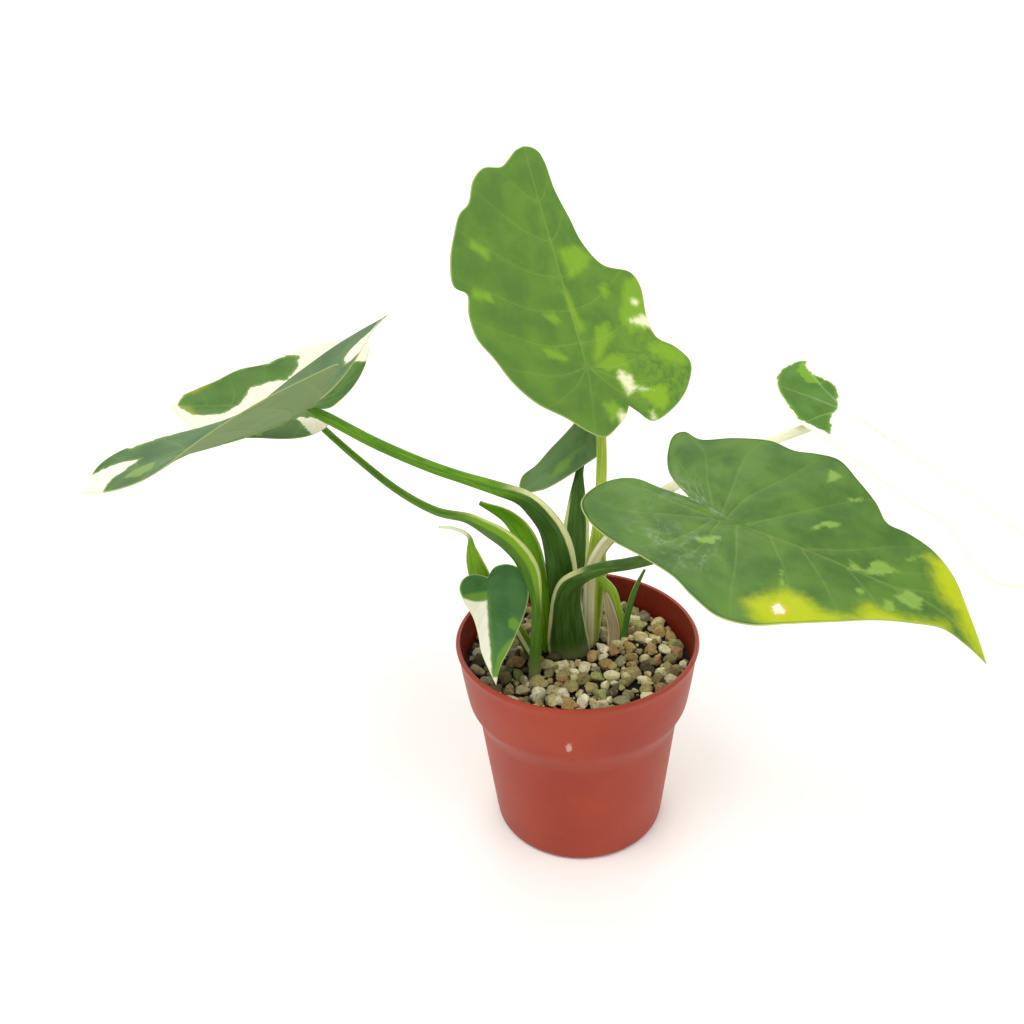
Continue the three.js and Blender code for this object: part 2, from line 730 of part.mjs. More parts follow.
// Assembly. Each piece is cut clear of those placed before it, by the gap.
const corm = makeCorm();
const placed = [makeCorm(clearance)];
const bladeSolids = leaves.map((leaf) => bladeSolid(leaf));
const bladeRoom = { thickness: bladeThickness + 2 * gap, spread: gap };
const bladeClearance = leaves.map((leaf) => bladeSolid(leaf, bladeRoom));

function clearOf(solid, others) {
  return others.reduce((rest, other) => rest.subtract(other), solid);
}

const stalks = leaves.map((leaf, i) => {
  const free = clearOf(stalkSolid(leaf.stalk, stalkSteps), [...placed, bladeClearance[i]]);
  placed.push(stalkSolid(leaf.stalk, stalkSteps, clearance));
  return largestPart(free);
});

const slips = narrowLeaves.map((leaf) => {
  const steps = 10;
  const free = clearOf(stalkSolid(leaf, steps), placed);
  placed.push(stalkSolid(leaf, steps, clearance));
  return largestPart(free);
});

addPiece("pot", toGeometry(makePot()), finish("#a84b37", 0.5));
addPiece("soil", toGeometry(largestPart(clearOf(makeSoil(), placed))), finish("#3a2a20", 0.95));
addPiece("grit", toGeometry(largestPart(clearOf(makeGrit(), placed))), finish("#b5a886", 0.9));
addPiece("corm", toGeometry(corm), finish("#7a5f45", 0.85));
leaves.forEach((leaf, i) => {
  addPiece(`${leaf.name}_blade`, toGeometry(bladeSolids[i]), finish(leafColors[leaf.name], 0.4));
  addPiece(`${leaf.name}_stalk`, toGeometry(stalks[i]), finish(stalkColors[leaf.name], 0.45));
});
narrowLeaves.forEach((leaf, i) => {
  addPiece(leaf.name, toGeometry(slips[i]), finish(leaf.color, 0.5));
});

export default plant;
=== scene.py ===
"""Potted Okinawa Silver alocasia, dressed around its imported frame. Leaf and pot data are in millimetres."""
from math import cos, hypot, pi, radians, sin, sqrt

import bmesh
import bpy
import numpy as np
from mathutils import Matrix, Vector
from mathutils.geometry import tessellate_polygon


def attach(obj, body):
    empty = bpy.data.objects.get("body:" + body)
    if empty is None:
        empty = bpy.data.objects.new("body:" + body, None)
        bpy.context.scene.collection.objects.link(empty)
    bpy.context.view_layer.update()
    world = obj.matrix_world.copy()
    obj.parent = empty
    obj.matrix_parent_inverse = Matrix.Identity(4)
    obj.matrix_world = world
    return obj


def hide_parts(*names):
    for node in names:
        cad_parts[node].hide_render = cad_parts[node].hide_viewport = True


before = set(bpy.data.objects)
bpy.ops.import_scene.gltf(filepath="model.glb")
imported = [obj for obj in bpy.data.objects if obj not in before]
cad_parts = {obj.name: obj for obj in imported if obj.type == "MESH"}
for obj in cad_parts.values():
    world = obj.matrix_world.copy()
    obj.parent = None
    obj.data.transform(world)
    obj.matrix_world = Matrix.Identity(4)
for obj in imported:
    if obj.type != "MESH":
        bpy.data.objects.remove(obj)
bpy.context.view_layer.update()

MM = 0.001

# Leaves, with the same named values as the solids
LEAVES, NARROW = {}, {}
LEAVES["leaf_right"] = dict(
    joint=(44.5,-51.6,153.6), turn=(-37,-6,8), reach=80,
    arch=(-12,0,0), fold=((0.08,), (0.08,)),
    ripples=((1,5,40), (0.8,8,10)),
    midrib=((0,0), (40,1.5), (55,2.8), (62,1.8), (75,-6)),
    left=((75,-6), (71,0), (65,8), (58,17), (50,23), (42,25), (36,25), (30,31), (22,37), (13,43), (6,42),
        (0,40), (-9,41), (-20,37), (-29,31), (-35,32), (-37,29), (-35,21), (-29,11), (-18,3.6)),
    right=((75,-6), (69,-4), (62,-3), (54.5,-7.2), (47,-13), (37.6,-23.2), (29,-32), (22,-38.6), (14,-41.2),
        (5,-38), (-3.6,-33.2), (-14,-30.6), (-27,-28.6), (-37,-24), (-44,-17), (-45,-8), (-42,0), (-37,3.4),
        (-29,3.2), (-18,3.6)),
    path=((-2,2,66), (-3.3,1.5,79), (-3.8,-1,92), (-3.6,-3.5,101), (-2,-6.5,108.5), (2,-11,114.5),
        (8,-18,120.5), (15.5,-27,127), (23,-37,135), (33,-45,144), (43.5,-51,152.5)),
    outward=(0.1,-0.95,-0.3),
    sizes=((0,8,4.6,0.1), (0.1,7.8,4.4,0.2), (0.24,5.8,3.8,0.2), (0.36,4.6,3.4,0.1), (0.44,3.3,3,-0.4),
        (0.54,2.1,2.1,-1), (1,1.8,1.8,-1)))
LEAVES["leaf_top"] = dict(
    joint=(7.5,33.6,173.6), turn=(114,49,6), reach=90,
    arch=(0,0,0), fold=((0.1,), (0.1,)),
    ripples=((1.2,6,0), (0.8,9,60)),
    midrib=((0,0), (90.6,-6.3)),
    left=((90.6,-6.3), (88.7,-2), (85.3,2), (81.6,7), (81,15), (76,21), (67,26), (63,31), (55,36), (45,41),
        (35,43), (32,39), (24,41), (15,41), (7,37), (-2,33), (-11,26), (-18,16), (-24,9), (-27,3), (-24,-4),
        (-20.5,-8.8), (-17.5,-11)),
    right=((90.6,-6.3), (90.2,-9.8), (88.3,-12.3), (83.9,-13.4), (71.5,-13.2), (58,-15), (49,-16), (38,-21),
        (33,-31), (27,-33), (14,-31), (6,-32), (1,-38), (-6,-42), (-14,-38), (-21,-30), (-25,-18),
        (-21,-14.2), (-17.5,-11)),
    path=((3,9,66), (6,12,82), (9,17,104), (11,21,126), (12,26,144), (11.5,31,158), (8,33,172)),
    outward=(0.4,0.9,0),
    sizes=((0,5,3,0.2), (0.3,4.6,3,0.2), (0.42,3,2.6,-0.4), (0.5,2.1,2.1,-1), (1,1.7,1.7,-1)))
LEAVES["leaf_high_left"] = dict(
    joint=(-87,0,176.6), turn=(195.2,-23.6,15), reach=74,
    arch=(37.5,-25.4,52.5), fold=((0.3,0.15,-0.98), (0.2,-0.25,-0.83,1.75)),
    ripples=((0.5,8,50),),
    midrib=((0,0), (77,0)),
    left=((77,0), (70,8), (60,16), (47,26), (35,34), (21,41), (6,45), (-6,45.5), (-14,44), (-17.5,40.5),
        (-16,34), (-12,24.5), (-8,14), (-5,5), (-4,1)),
    right=((77,0), (72,-9), (62,-18), (48,-28), (34,-36), (20,-41), (5,-45), (-9,-44), (-23,-40), (-34,-34),
        (-38,-27), (-31,-17), (-20,-7), (-4,1)),
    path=((-6,7,66), (-5.5,7,83), (-5,6,97), (-5,4,112), (-7.2,3,124), (-12,2,133), (-18,2,139.3),
        (-26.5,1,143), (-36,1,146.8), (-49,1,152.5), (-66.5,0,162.6), (-80,0,171.6), (-85.8,0,175.5)),
    outward=(-0.5,-0.8,-0.3),
    sizes=((0,6.4,4,0.1), (0.12,6.6,4.2,0.2), (0.34,6.3,4,0.3), (0.45,5.4,3.6,0.2), (0.51,4,3.2,-0.2),
        (0.56,2.5,2.5,-1), (0.64,2.05,2.05,-1), (1,1.9,1.9,-1)))
LEAVES["leaf_low_left"] = dict(
    joint=(-101,58,153.8), turn=(190,8,-12), reach=60,
    arch=(-4,0,0), fold=((0.1,), (0.2,)),
    ripples=((0.7,5,0), (0.6,7,30)),
    midrib=((0,0), (49,-2.3)),
    left=((49,-2.3), (44.5,7.6), (38,16), (31,21), (23.5,23), (16,23.8), (7,24.7), (-0.5,23), (-6.5,18),
        (-10,10.5), (-5.7,1.3)),
    right=((49,-2.3), (47,-8), (40.6,-12.4), (33,-16.4), (25,-21.7), (15,-25), (4.7,-32), (-6.7,-37.6),
        (-17.8,-40.6), (-27,-38), (-26,-27.5), (-20.7,-14), (-14.4,-4.5), (-10,0.5), (-5.7,1.3)),
    path=((-16.8,-12,66), (-15.4,-12,88), (-14.5,-12,104), (-15.6,-10,113.3), (-18.4,-8,120), (-23.7,-5,125),
        (-29.4,-2,128.6), (-37,4,130), (-49,14,128.3), (-63.6,28,130.3), (-79.4,42,137.6), (-90.5,51,144.5),
        (-100,57.5,152.6)),
    outward=(-0.6,-0.7,-0.35),
    sizes=((0,2.4,2.2,-0.7), (0.17,2,2,-0.7), (0.24,2.2,2.2,-0.4), (0.3,4.2,3,0.1), (0.35,4.8,3.2,0.2),
        (0.4,4.2,2.8,0.1), (0.45,2.6,2.2,-0.6), (0.49,1.5,1.5,-1), (1,1.3,1.3,-1)))
LEAVES["leaf_white"] = dict(
    joint=(103.6,33.2,151.3), turn=(-48,-18,10), reach=85,
    arch=(-6,0,0), fold=((0.08,), (0.08,)),
    ripples=((0.8,5,0), (0.6,8,30)),
    midrib=((0,0), (101,0)),
    left=((101,0), (96,9), (87,19), (72,31), (56,38), (40,43), (26,45), (4,45), (-10,41), (-17,32), (-20,22),
        (-18,12), (-10,6)),
    right=((101,0), (95,-8), (85,-19), (77,-26), (66,-24), (55,-19), (42,-21), (24,-21), (5,-20), (-8,-20),
        (-17,-15), (-25,-10), (-30,-4), (-31,3), (-29,10), (-25,13), (-20,11.4), (-10,6)),
    path=((6,6,66), (6.5,7,83), (6.5,10,95), (7.5,13,104), (12,17,110), (22,21,117), (38,25,128),
        (66,28,140), (90,31.5,147), (102.5,33,150.3)),
    outward=(0.35,-0.9,-0.3),
    sizes=((0,3.4,2.2,0), (0.16,4,2.4,0.2), (0.26,4,2.6,0.1), (0.36,3,2.4,-0.4), (0.45,2.1,2.1,-1),
        (1,1.7,1.7,-1)))
LEAVES["leaf_back"] = dict(
    joint=(9,49,137.2), turn=(205,-28,-20), reach=40,
    arch=(-3,0,0), fold=((0.1,), (0.1,)),
    ripples=((0.4,5,0),),
    midrib=((0,0), (34,-3)),
    left=((34,-3), (29,1), (24.6,4), (19.5,5.6), (13.5,6.8), (7,7.6), (2.5,8.2), (-1.5,7.8), (-3.6,5.5),
        (-4.5,2.5), (-4,0.2)),
    right=((34,-3), (28,-7.8), (21,-7.4), (13,-8.6), (6,-9.4), (0,-10.4), (-8,-12), (-14,-11), (-16,-5),
        (-4,0.2)),
    path=((-3,10,66), (-1,12,82), (1.4,20,98), (2.6,29,112), (4,38,122), (6,46,130), (8.6,49.5,135.8)),
    outward=(0.1,0.9,-0.4),
    sizes=((0,3.4,2.4,0), (0.3,4.6,2.6,0.1), (0.6,5,2.6,0.2), (0.75,3,2.2,-0.4), (0.85,1.6,1.6,-1),
        (1,1.4,1.4,-1)))
LEAVES["leaf_folded"] = dict(
    joint=(-31.7,-4.6,108.3), turn=(-90,-50,0), reach=42,
    arch=(0,0,0), fold=((-0.1,), (0.9,)),
    ripples=((0.3,4,0),),
    midrib=((0,0), (36.1,1.5)),
    left=((36.1,1.5), (30,3.1), (24,6.5), (16.4,10.5), (8.7,13.6), (3.1,14.6), (-2,14), (-5,11.5),
        (-6.6,7.2), (-5.6,2.6), (-2.2,0.2)),
    right=((36.1,1.5), (29.9,-1.1), (24.3,-3.2), (18.6,-4), (12.4,-5.5), (6.2,-8.7), (2,-9.8), (-1.3,-8.4),
        (-3,-5.7), (-3,-2.5), (-2.2,0.2)),
    path=((-13,0,66), (-18,-1,76), (-23,-1.5,88), (-28,-1,99), (-31.7,-3.9,107.6)),
    outward=(-0.7,-0.2,-0.5),
    sizes=((0,2.2,1.8,-0.6), (0.5,2.2,1.6,-0.6), (1,1.2,1.2,-1)))
NARROW["leaf_slip"] = dict(
    path=((-11,4,66), (-20.9,3,82), (-27.8,4,95), (-33.3,4,102.5), (-35.6,4,110.5), (-36.8,4,117.5),
        (-37.6,4,123), (-43,4,126.5), (-48,4,127.3)),
    outward=(-0.3,-0.9,0.2),
    sizes=((0,1.6,1.2,0), (0.35,2,1.2,0), (0.52,3.4,1.3,0.3), (0.64,4.2,1.3,0.3), (0.73,3,1.2,0.3),
        (0.82,0.9,0.8,0), (1,0.5,0.5,-1)))
NARROW["leaf_new"] = dict(
    path=((-12,5,66), (-12,5,80), (-12.4,6,95), (-14.7,6.5,108.5), (-17.6,7,120), (-23.3,7,128.5),
        (-33,7,134.6)),
    outward=(-0.2,-0.9,-0.2),
    sizes=((0,2,1.6,0), (0.3,3,1.8,0), (0.6,4.4,1.6,0.2), (0.78,4,1.5,0.2), (0.9,2.6,1.2,0), (1,0.8,0.8,-1)))
NARROW["offset_leaf_left"] = dict(
    path=((15.5,6,66), (17.6,9,75), (16.1,10,84.6), (13.6,11,93), (9.9,12,97.5), (5,12,100)),
    outward=(0.2,-0.9,0.3),
    sizes=((0,1.6,1.2,0), (0.3,1.9,1.2,0.2), (0.7,2.3,1.1,0.2), (1,1,0.7,0)))
NARROW["offset_leaf_right"] = dict(
    path=((18.5,5,66), (19,9,76.4), (20.8,11,84.6), (23.3,13,92), (27,15,99)),
    outward=(0.5,-0.8,0),
    sizes=((0,1.5,1.2,0), (0.3,1.6,1.2,0.2), (0.7,1.5,1,0.2), (1,0.6,0.6,0)))
NARROW["dry_scale"] = dict(
    path=((13.6,3,68), (14.4,6,78), (13.2,7,86), (11.5,8,94)),
    outward=(0.2,-0.9,0.2),
    sizes=((0,2.2,0.8,0), (0.4,2.4,0.8,0.1), (0.8,1.8,0.7,0.1), (1,0.7,0.5,0)))

# Veins of the right leaf: each a run of points on its flat plane
RIGHT_VEINS = (
    ((-8,0.5), (-16,12), (-25,26), (-31,30)),
    ((-9,1), (-20,10), (-30,18)),
    ((-4,1), (-3,12), (4,28), (8,40)),
    ((-6,1), (-9,15), (-12,30), (-11,39)),
    ((2,1), (12,13), (22,25), (28,31)),
    ((20,0.8), (30,7), (40,16), (47,21.5)),
    ((34,1.3), (44,7), (54,14), (58,16)),
    ((47,2.5), (56,7), (63,9)),
    ((-8,-2), (-20,-8), (-33,-14), (-42,-13)),
    ((-8,-1), (-20,-1), (-32,0), (-40,-1)),
    ((-7,-2), (-10,-14), (-16,-25), (-22,-29.5)),
    ((-5,-2), (-4,-16), (-5,-28), (-4,-33)),
    ((0,-1), (7,-16), (13,-32), (17,-40)),
    ((10,0), (20,-12), (27,-24), (31,-29)),
    ((20,0), (30,-9), (38,-18), (41,-20)),
    ((33,0.8), (42,-5), (49,-10), (52,-9)),
    ((46,2), (54,-2), (60,-3.2)),
)

# Marks by leaf and kind: pale is cream, gold yellow, lime light green. Outside of green, all is cream
MARKS = {
    ("leaf_right", "lime"): (
        ((13.5,36), (17,35.5), (16.5,32), (14.5,31)),
        ((23,27.5), (26,30), (25,28), (23.5,27)),
        ((19,9.5), (20,13), (22,15.5), (25,16), (24,13), (22,12.5), (21,11.5), (19.5,9)),
        ((38,6), (39,9), (42,8.5), (45.5,9), (43,6), (41,3.5), (38,3)),
        ((33,4), (36,3), (42,3.8), (34,1)),
        ((48,-1), (50,3.5), (54,3), (55,-1.5), (51,-2)),
        ((46,-4), (47.5,-3.5), (49.5,-6), (48.5,-8), (46.5,-7)),
        ((38.5,-6), (39.5,-4), (41,-6), (40,-7.5)),
        ((-6.5,-13.5), (-3,-9.5), (-1.5,-9), (-1.5,-13), (-5,-14.5)),
        ((19,-12), (21,-16), (23,-19), (21.5,-18.5), (19.5,-14)),
        ((45.5,14), (48,18), (49,19), (47,15.5)),
    ),
    ("leaf_right", "gold"): (
        ((51,19), (53,17), (55,13), (57,10), (60,7), (64,5.5), (66,2), (71,-3), (76,-7), (72,2), (66,9),
         (60,17), (55,21)),
        ((18,-31), (20,-28), (22,-24), (24,-20.5), (28,-20), (34,-22), (40,-19.5), (44,-15), (47,-16),
         (38,-27), (31,-32), (27,-35), (22,-35)),
        ((43,-14), (44,-10), (49,-9), (54,-7), (60,-4), (62,-2), (62,-5), (55,-8.5), (49,-14), (45,-18)),
    ),
    ("leaf_right", "pale"): (
        ((24.2,-26), (26.6,-26.4), (27,-29), (25.8,-31), (24,-29.5), (23.6,-27.5)),
    ),
    ("leaf_top", "lime"): (
        ((2,-4), (14,-9), (15,-14), (10,-14), (5,-9), (2,-6)),
        ((35,-6), (46,-5.5), (47,-13), (42,-17), (38,-14)),
        ((3,8), (6,15), (8.5,15.5), (7,10), (4.5,7.5)),
        ((18,8), (21,10), (22,6), (19,5)),
        ((-22,-2), (-15,-1), (-15,-6), (-19,-7)),
        ((-20,-23), (-13,-17), (-14,-27), (-19,-27)),
        ((-6,-35), (0,-28), (4,-28), (3,-34), (-2,-40), (-6,-41)),
        ((-3,-8), (0,-4), (3,-12), (1,-16), (-3,-16)),
        ((28,30), (31,37), (33,36), (31,30)),
        ((45,26), (50,31), (52,30), (48,25)),
        ((10,-22), (16,-20), (24,-24), (30,-27), (31,-33), (24,-34), (10,-31)),
        ((25,-17), (29,-16), (30,-18.5), (27,-19)),
        ((14,-2), (30,-1.2), (30,-2.6), (14,-3.6)),
    ),
    ("leaf_top", "gold"): (
        ((-20,-23), (-14,-18), (-14,-26), (-19,-26)),
    ),
    ("leaf_top", "pale"): (
        ((-25,-5), (-20,-4.5), (-18,-7), (-20,-10), (-24,-8)),
        ((-14,-12), (-6,-10), (-3,-12), (-7,-17), (-10,-16), (-14,-23), (-12.5,-16)),
        ((-26,-18), (-21,-17.5), (-21,-20), (-25,-20)),
        ((10,-29), (13,-23), (15,-22.5), (16,-29), (15,-33), (9,-32)),
        ((19.4,-27), (21,-25.6), (22.8,-26.6), (23,-29), (21,-30), (19.4,-29)),
    ),
    ("leaf_low_left", "green"): (
        ((24,-2), (29,4), (36,6), (41,5), (44,1), (47,-3), (45,-10), (36,-16), (28,-20), (20,-24), (13,-25),
         (6,-30), (1,-30), (2,-22), (6,-16), (14,-14), (20,-11), (22,-6)),
        ((-3,21), (1,26), (14,25.5), (32,23), (36,16), (25,10), (12,8), (4,7), (1,12), (-1,18)),
        ((-12,6), (-8,11), (-4,8), (6,8), (12,6), (14,-2), (10,-8), (3,-12), (-3,-14), (-8,-22), (-12,-24),
         (-16,-27), (-28,-27.5), (-28,-18), (-20,-8), (-12,0)),
    ),
    ("leaf_low_left", "lime"): (
        ((-13,-23), (-10,-8), (-6.5,-6), (-8,-22)),
        ((15.5,22), (17,23), (18.6,16), (16.8,14)),
    ),
    ("leaf_low_left", "gold"): (
        ((40,6), (44,5), (47,-1), (44,-1), (42,2)),
        ((33,-17), (40,-12), (46,-9), (47,-12), (38,-17), (33,-19)),
    ),
    ("leaf_high_left", "pale"): (
        ((-17.4,-19), (-20,-21.5), (-26,-21), (-32,-19), (-35,-22), (-38.5,-26), (-31,-14), (-24,-9),
         (-17,-12)),
        ((57,-8), (62,-9.5), (70,-8), (78,-7), (79,1), (73,8), (69,12), (66.5,7), (63,1), (60,-4)),
        ((14,-41.2), (34,-34), (50,-25), (60,-17), (62,-20), (48,-31), (34,-39), (18,-44)),
    ),
    ("leaf_high_left", "lime"): (
        ((50,5), (58,4), (60,9), (54,15), (50,13)),
    ),
    ("leaf_white", "green"): (
        ((-29,13), (-26,8), (-22,6.5), (-16,8), (-12,7.5), (-9,5.5), (-6,2), (-3.5,-2), (-3,-6), (-1,-10),
         (4,-16.5), (-2,-17.5), (-9,-18.8), (-15,-15.5), (-22,-12.5), (-29,-6), (-31,1)),
    ),
    ("leaf_white", "lime"): (
        ((-29,12), (-22,7), (-16,5), (-20,1), (-27,4)),
    ),
    ("leaf_white", "gold"): (
        ((46,-18.5), (54,-17), (58,-18.5), (54,-22), (46,-23)),
    ),
    ("leaf_folded", "pale"): (
        ((6,-0.4), (37,0.6), (37,-6), (5,-13), (5.2,-9), (6.4,-5)),
        ((33,3), (37,3), (38,0), (33,0)),
    ),
    ("leaf_folded", "lime"): (
        ((12.5,8.6), (14.6,10.8), (17.4,9.4), (16,7), (13.4,7)),
        ((19,10.5), (26,6.2), (32,2.8), (33,0.8), (26,2.4), (21,6.4)),
        ((3,-0.4), (6.6,-0.4), (6,-5), (5,-9), (3.6,-5)),
    ),
    ("leaf_back", "lime"): (
        ((8,1), (16,3), (20,1.5), (14,-1)),
    ),
}

# Blades: heights and widths of the relief, for the midrib and for the side veins
BLADE_THICKNESS = 0.55
RIDGE = (1.5, 0.6)
RIDGE_WIDTH = (1.3, 0.8)
GROOVE = (0.35, 0.22)
GROOVE_WIDTH = 0.9
QUILT = 0.4
QUILT_WIDTH = 5
MARGIN_FADE = 6
MARGIN_THINS = 0.8
MARK_REACH = 9
# Side veins: where each leaves the midrib, as a share of it, and where it ends on the margin, in hundredths
VEIN_ENDS = ((0.74, 10), (0.56, 20), (0.4, 31), (0.25, 42), (0.11, 53), (0, 64), (0, 76), (0, 87))

# Pot: outer wall from the base up, over the rim and down the inside
POT_PROFILE = (
    (29.8,0), (31.1,0.12), (32.1,0.6), (32.8,1.5), (33.05,2.8), (34.4,15), (35.9,29), (37.8,46.6),
    (38.15,48.9), (38.7,50.6), (39.6,52.9), (40.6,55), (41.2,56.1), (41.6,57.3), (42.5,63), (43.4,70),
    (44.4,78.4), (44.75,79.2), (45,80), (45,80.8), (44.7,81.35), (44.1,81.5), (43.5,81.2), (43.3,80.5),
    (42.3,72), (41,62), (40.3,57), (39.4,54.6), (37.8,51), (37,49.6), (36.7,47.6), (34.8,30), (33.3,16),
    (31.8,3.6), (31.2,2.2), (30.2,1.4), (29,1.2),
)
POT_RINGS = 150
POT_SEGMENTS = 144
POT_FLOOR = 1.2
# Drain holes and scuff, in metres
DRAINS = 6
DRAIN_RADIUS = 0.004
DRAIN_CIRCLE = 0.02
DRAIN_DEPTH = 0.008
SCUFF = (-0.00615, -0.0421, 0.0636)

# Grit
GRIT_SEED = 12
GRIT_RADIUS = 41.6
BED_RADIUS = 42
BED_FLOOR = 67.9
STONE_TRIES = 900
STONE_SIZES = (1.25, 3.25)
CRUMBS = 330
CRUMB_SIZES = (0.45, 1)
UPPER_SIZES = (1.2, 2.3)
BIG_STONE = (33.5, -12, 3.3)


# Curves and distances
def between(t, t1, t2, p1, p2):
    return (t2 - t) / (t2 - t1) * p1 + (t - t1) / (t2 - t1) * p2


def curve(points, count):
    """Samples at equal steps along a centripetal curve through the points."""
    p = np.array(points, float)
    q = np.vstack([2 * p[0] - p[1], p, 2 * p[-1] - p[-2]])
    out = []
    for i in range(1, len(q) - 2):
        p0, p1, p2, p3 = q[i - 1:i + 3]
        t1 = np.linalg.norm(p1 - p0) ** 0.5
        t2 = t1 + np.linalg.norm(p2 - p1) ** 0.5
        t3 = t2 + np.linalg.norm(p3 - p2) ** 0.5
        t = np.linspace(t1, t2, 24, endpoint=False)[:, None]
        a1 = between(t, 0, t1, p0, p1)
        a2 = between(t, t1, t2, p1, p2)
        a3 = between(t, t2, t3, p2, p3)
        b1 = between(t, 0, t2, a1, a2)
        b2 = between(t, t1, t3, a2, a3)
        out.append(between(t, t1, t2, b1, b2))
    out = np.vstack(out + [p[-1:]])
    run = np.r_[0, np.cumsum(np.linalg.norm(np.diff(out, axis=0), axis=1))]
    at = np.linspace(0, run[-1], count)
    return np.stack([np.interp(at, run, out[:, k]) for k in range(out.shape[1])], 1)


def inside_by(p, polygon):
    """How far each point lies inside the polygon, negative outside."""
    a = np.array(polygon, float)
    b = np.roll(a, -1, 0)
    best = np.full(len(p), 1e9)
    odd = np.zeros(len(p), bool)
    for (ax, ay), (bx, by) in zip(a, b):
        ex, ey = bx - ax, by - ay
        wx, wy = p[:, 0] - ax, p[:, 1] - ay
        h = np.clip((wx * ex + wy * ey) / (ex * ex + ey * ey), 0, 1)
        best = np.minimum(best, np.hypot(wx - ex * h, wy - ey * h))
        if ay != by:
            crosses = (ay > p[:, 1]) != (by > p[:, 1])
            odd ^= crosses & (p[:, 0] < ex * (p[:, 1] - ay) / ey + ax)
    return np.where(odd, best, -best)


def field(p, polygons):
    """How far each point lies inside any of the polygons."""
    out = np.full(len(p), float(-MARK_REACH))
    for polygon in polygons:
        out = np.maximum(out, inside_by(p, polygon))
    return np.clip(out, -MARK_REACH, MARK_REACH)


def vein_field(p, veins):
    """Signed distance to the nearest vein, its share of the way along, and whether it is the midrib."""
    best = np.full(len(p), 1e9)
    side, share, main = np.zeros(len(p)), np.zeros(len(p)), np.zeros(len(p))
    spans = 24
    for n, vein in enumerate(veins):
        line = curve(vein, spans + 1)
        for k in range(spans):
            ax, ay = line[k]
            ex, ey = line[k + 1] - line[k]
            wx, wy = p[:, 0] - ax, p[:, 1] - ay
            h = np.clip((wx * ex + wy * ey) / (ex * ex + ey * ey), 0, 1)
            d = np.hypot(wx - ex * h, wy - ey * h)
            near = d < best
            best = np.where(near, d, best)
            side = np.where(near, np.where(ex * wy - ey * wx > 0, d, -d), side)
            share = np.where(near, (k + h) / spans, share)
            main = np.where(near, float(n == 0), main)
    return side, share, main


# Meshes
def link(name, data):
    obj = bpy.data.objects.new(name, data)
    bpy.context.scene.collection.objects.link(obj)
    return obj


def make_mesh(name, points, faces, marks):
    """A smooth mesh from points in millimetres, with a vector attribute for each mark."""
    mesh = bpy.data.meshes.new(name)
    mesh.from_pydata((np.asarray(points) * MM).tolist(), [], faces)
    mesh.update()
    for key, values in marks.items():
        a = mesh.attributes.new(key, "FLOAT_VECTOR", "POINT")
        a.data.foreach_set("vector", np.asarray(values, np.float32).ravel())
    mesh.polygons.foreach_set("use_smooth", [True] * len(mesh.polygons))
    return link(name, mesh)


def quads(start, rings, count):
    """Faces between closed rings of equal count."""
    i = np.arange(count)
    j = (i + 1) % count
    out = []
    for r in range(rings - 1):
        a = start + r * count
        out.append(np.stack([a + i, a + count + i, a + count + j, a + j], 1))
    return np.vstack(out).tolist()


def face_out(obj):
    """Turns the mesh over if it is inside out."""
    b = bmesh.new()
    b.from_mesh(obj.data)
    if b.calc_volume(signed=True) < 0:
        bmesh.ops.reverse_faces(b, faces=b.faces)
    b.to_mesh(obj.data)
    b.free()


# Blades
def side_veins(leaf):
    """Lateral veins from the midrib and the joint to the margin, bending toward the tip."""
    rib = curve(leaf["midrib"], 50)
    out = []
    for side in ("left", "right"):
        edge = curve(leaf[side], 100)
        for start, end in VEIN_ENDS:
            a, b = rib[int(start * 49)], edge[end]
            bend = np.array([0.09, 0]) * np.linalg.norm(b - a)
            reach = b - a
            out.append((a, a + reach * 0.35 - bend, a + reach * 0.7 - bend * 0.6, a + reach * 0.97))
    return out


def axes(turn):
    """The blade's own axes, from heading, pitch and roll in degrees."""
    h, p, r = (radians(x) for x in turn)
    ahead = np.array([cos(p) * cos(h), cos(p) * sin(h), sin(p)])
    level = np.array([-sin(h), cos(h), 0])
    left = level * cos(r) + np.cross(ahead, level) * sin(r)
    return ahead, left, np.cross(ahead, left)


def height(leaf, x, y):
    """The blade's rise over its flat plane: arch, fold and ripples."""
    t = x / leaf["reach"]
    square, cube, behind = leaf["arch"]
    arch = np.where(x > 0, square * t ** 2 + cube * t ** 3, behind * t ** 2)
    slopes = [sum(c * t ** i for i, c in enumerate(half)) for half in leaf["fold"]]
    slope = np.where(y > 0, slopes[0], slopes[1])
    growth = (np.hypot(x, y) / leaf["reach"]) ** 3
    angle = np.arctan2(y, x)
    waves = sum(h * np.sin(c * angle + radians(phase)) for h, c, phase in leaf["ripples"])
    return arch + slope * (np.hypot(y, 5) - 5) + growth * waves


def blade_rings(leaf, steps, rings):
    """Flat points in rings from the midrib's feet to the margin, and each point's distance to the margin."""
    right = curve(leaf["right"], steps)[::-1]
    left = curve(leaf["left"], steps)
    edge = np.vstack([right, left[1:-1]])
    tip = leaf["left"][0][0]
    ahead = np.where(edge[:, 0] > 0, 0.9 * edge[:, 0] * np.abs(edge[:, 0] / tip) ** 0.6, 0)
    rib = np.array(leaf["midrib"], float)
    feet = np.stack([ahead, np.interp(ahead, rib[:, 0], rib[:, 1])], 1)
    shares = np.r_[0.012, np.linspace(0, 1, rings + 1)[1:-1], 0.985, 0.996, 1]
    rung = np.linalg.norm(edge - feet, axis=1)
    flat = np.vstack([feet + (edge - feet) * s for s in shares])
    return flat, np.concatenate([rung * (1 - s) for s in shares]), len(edge)


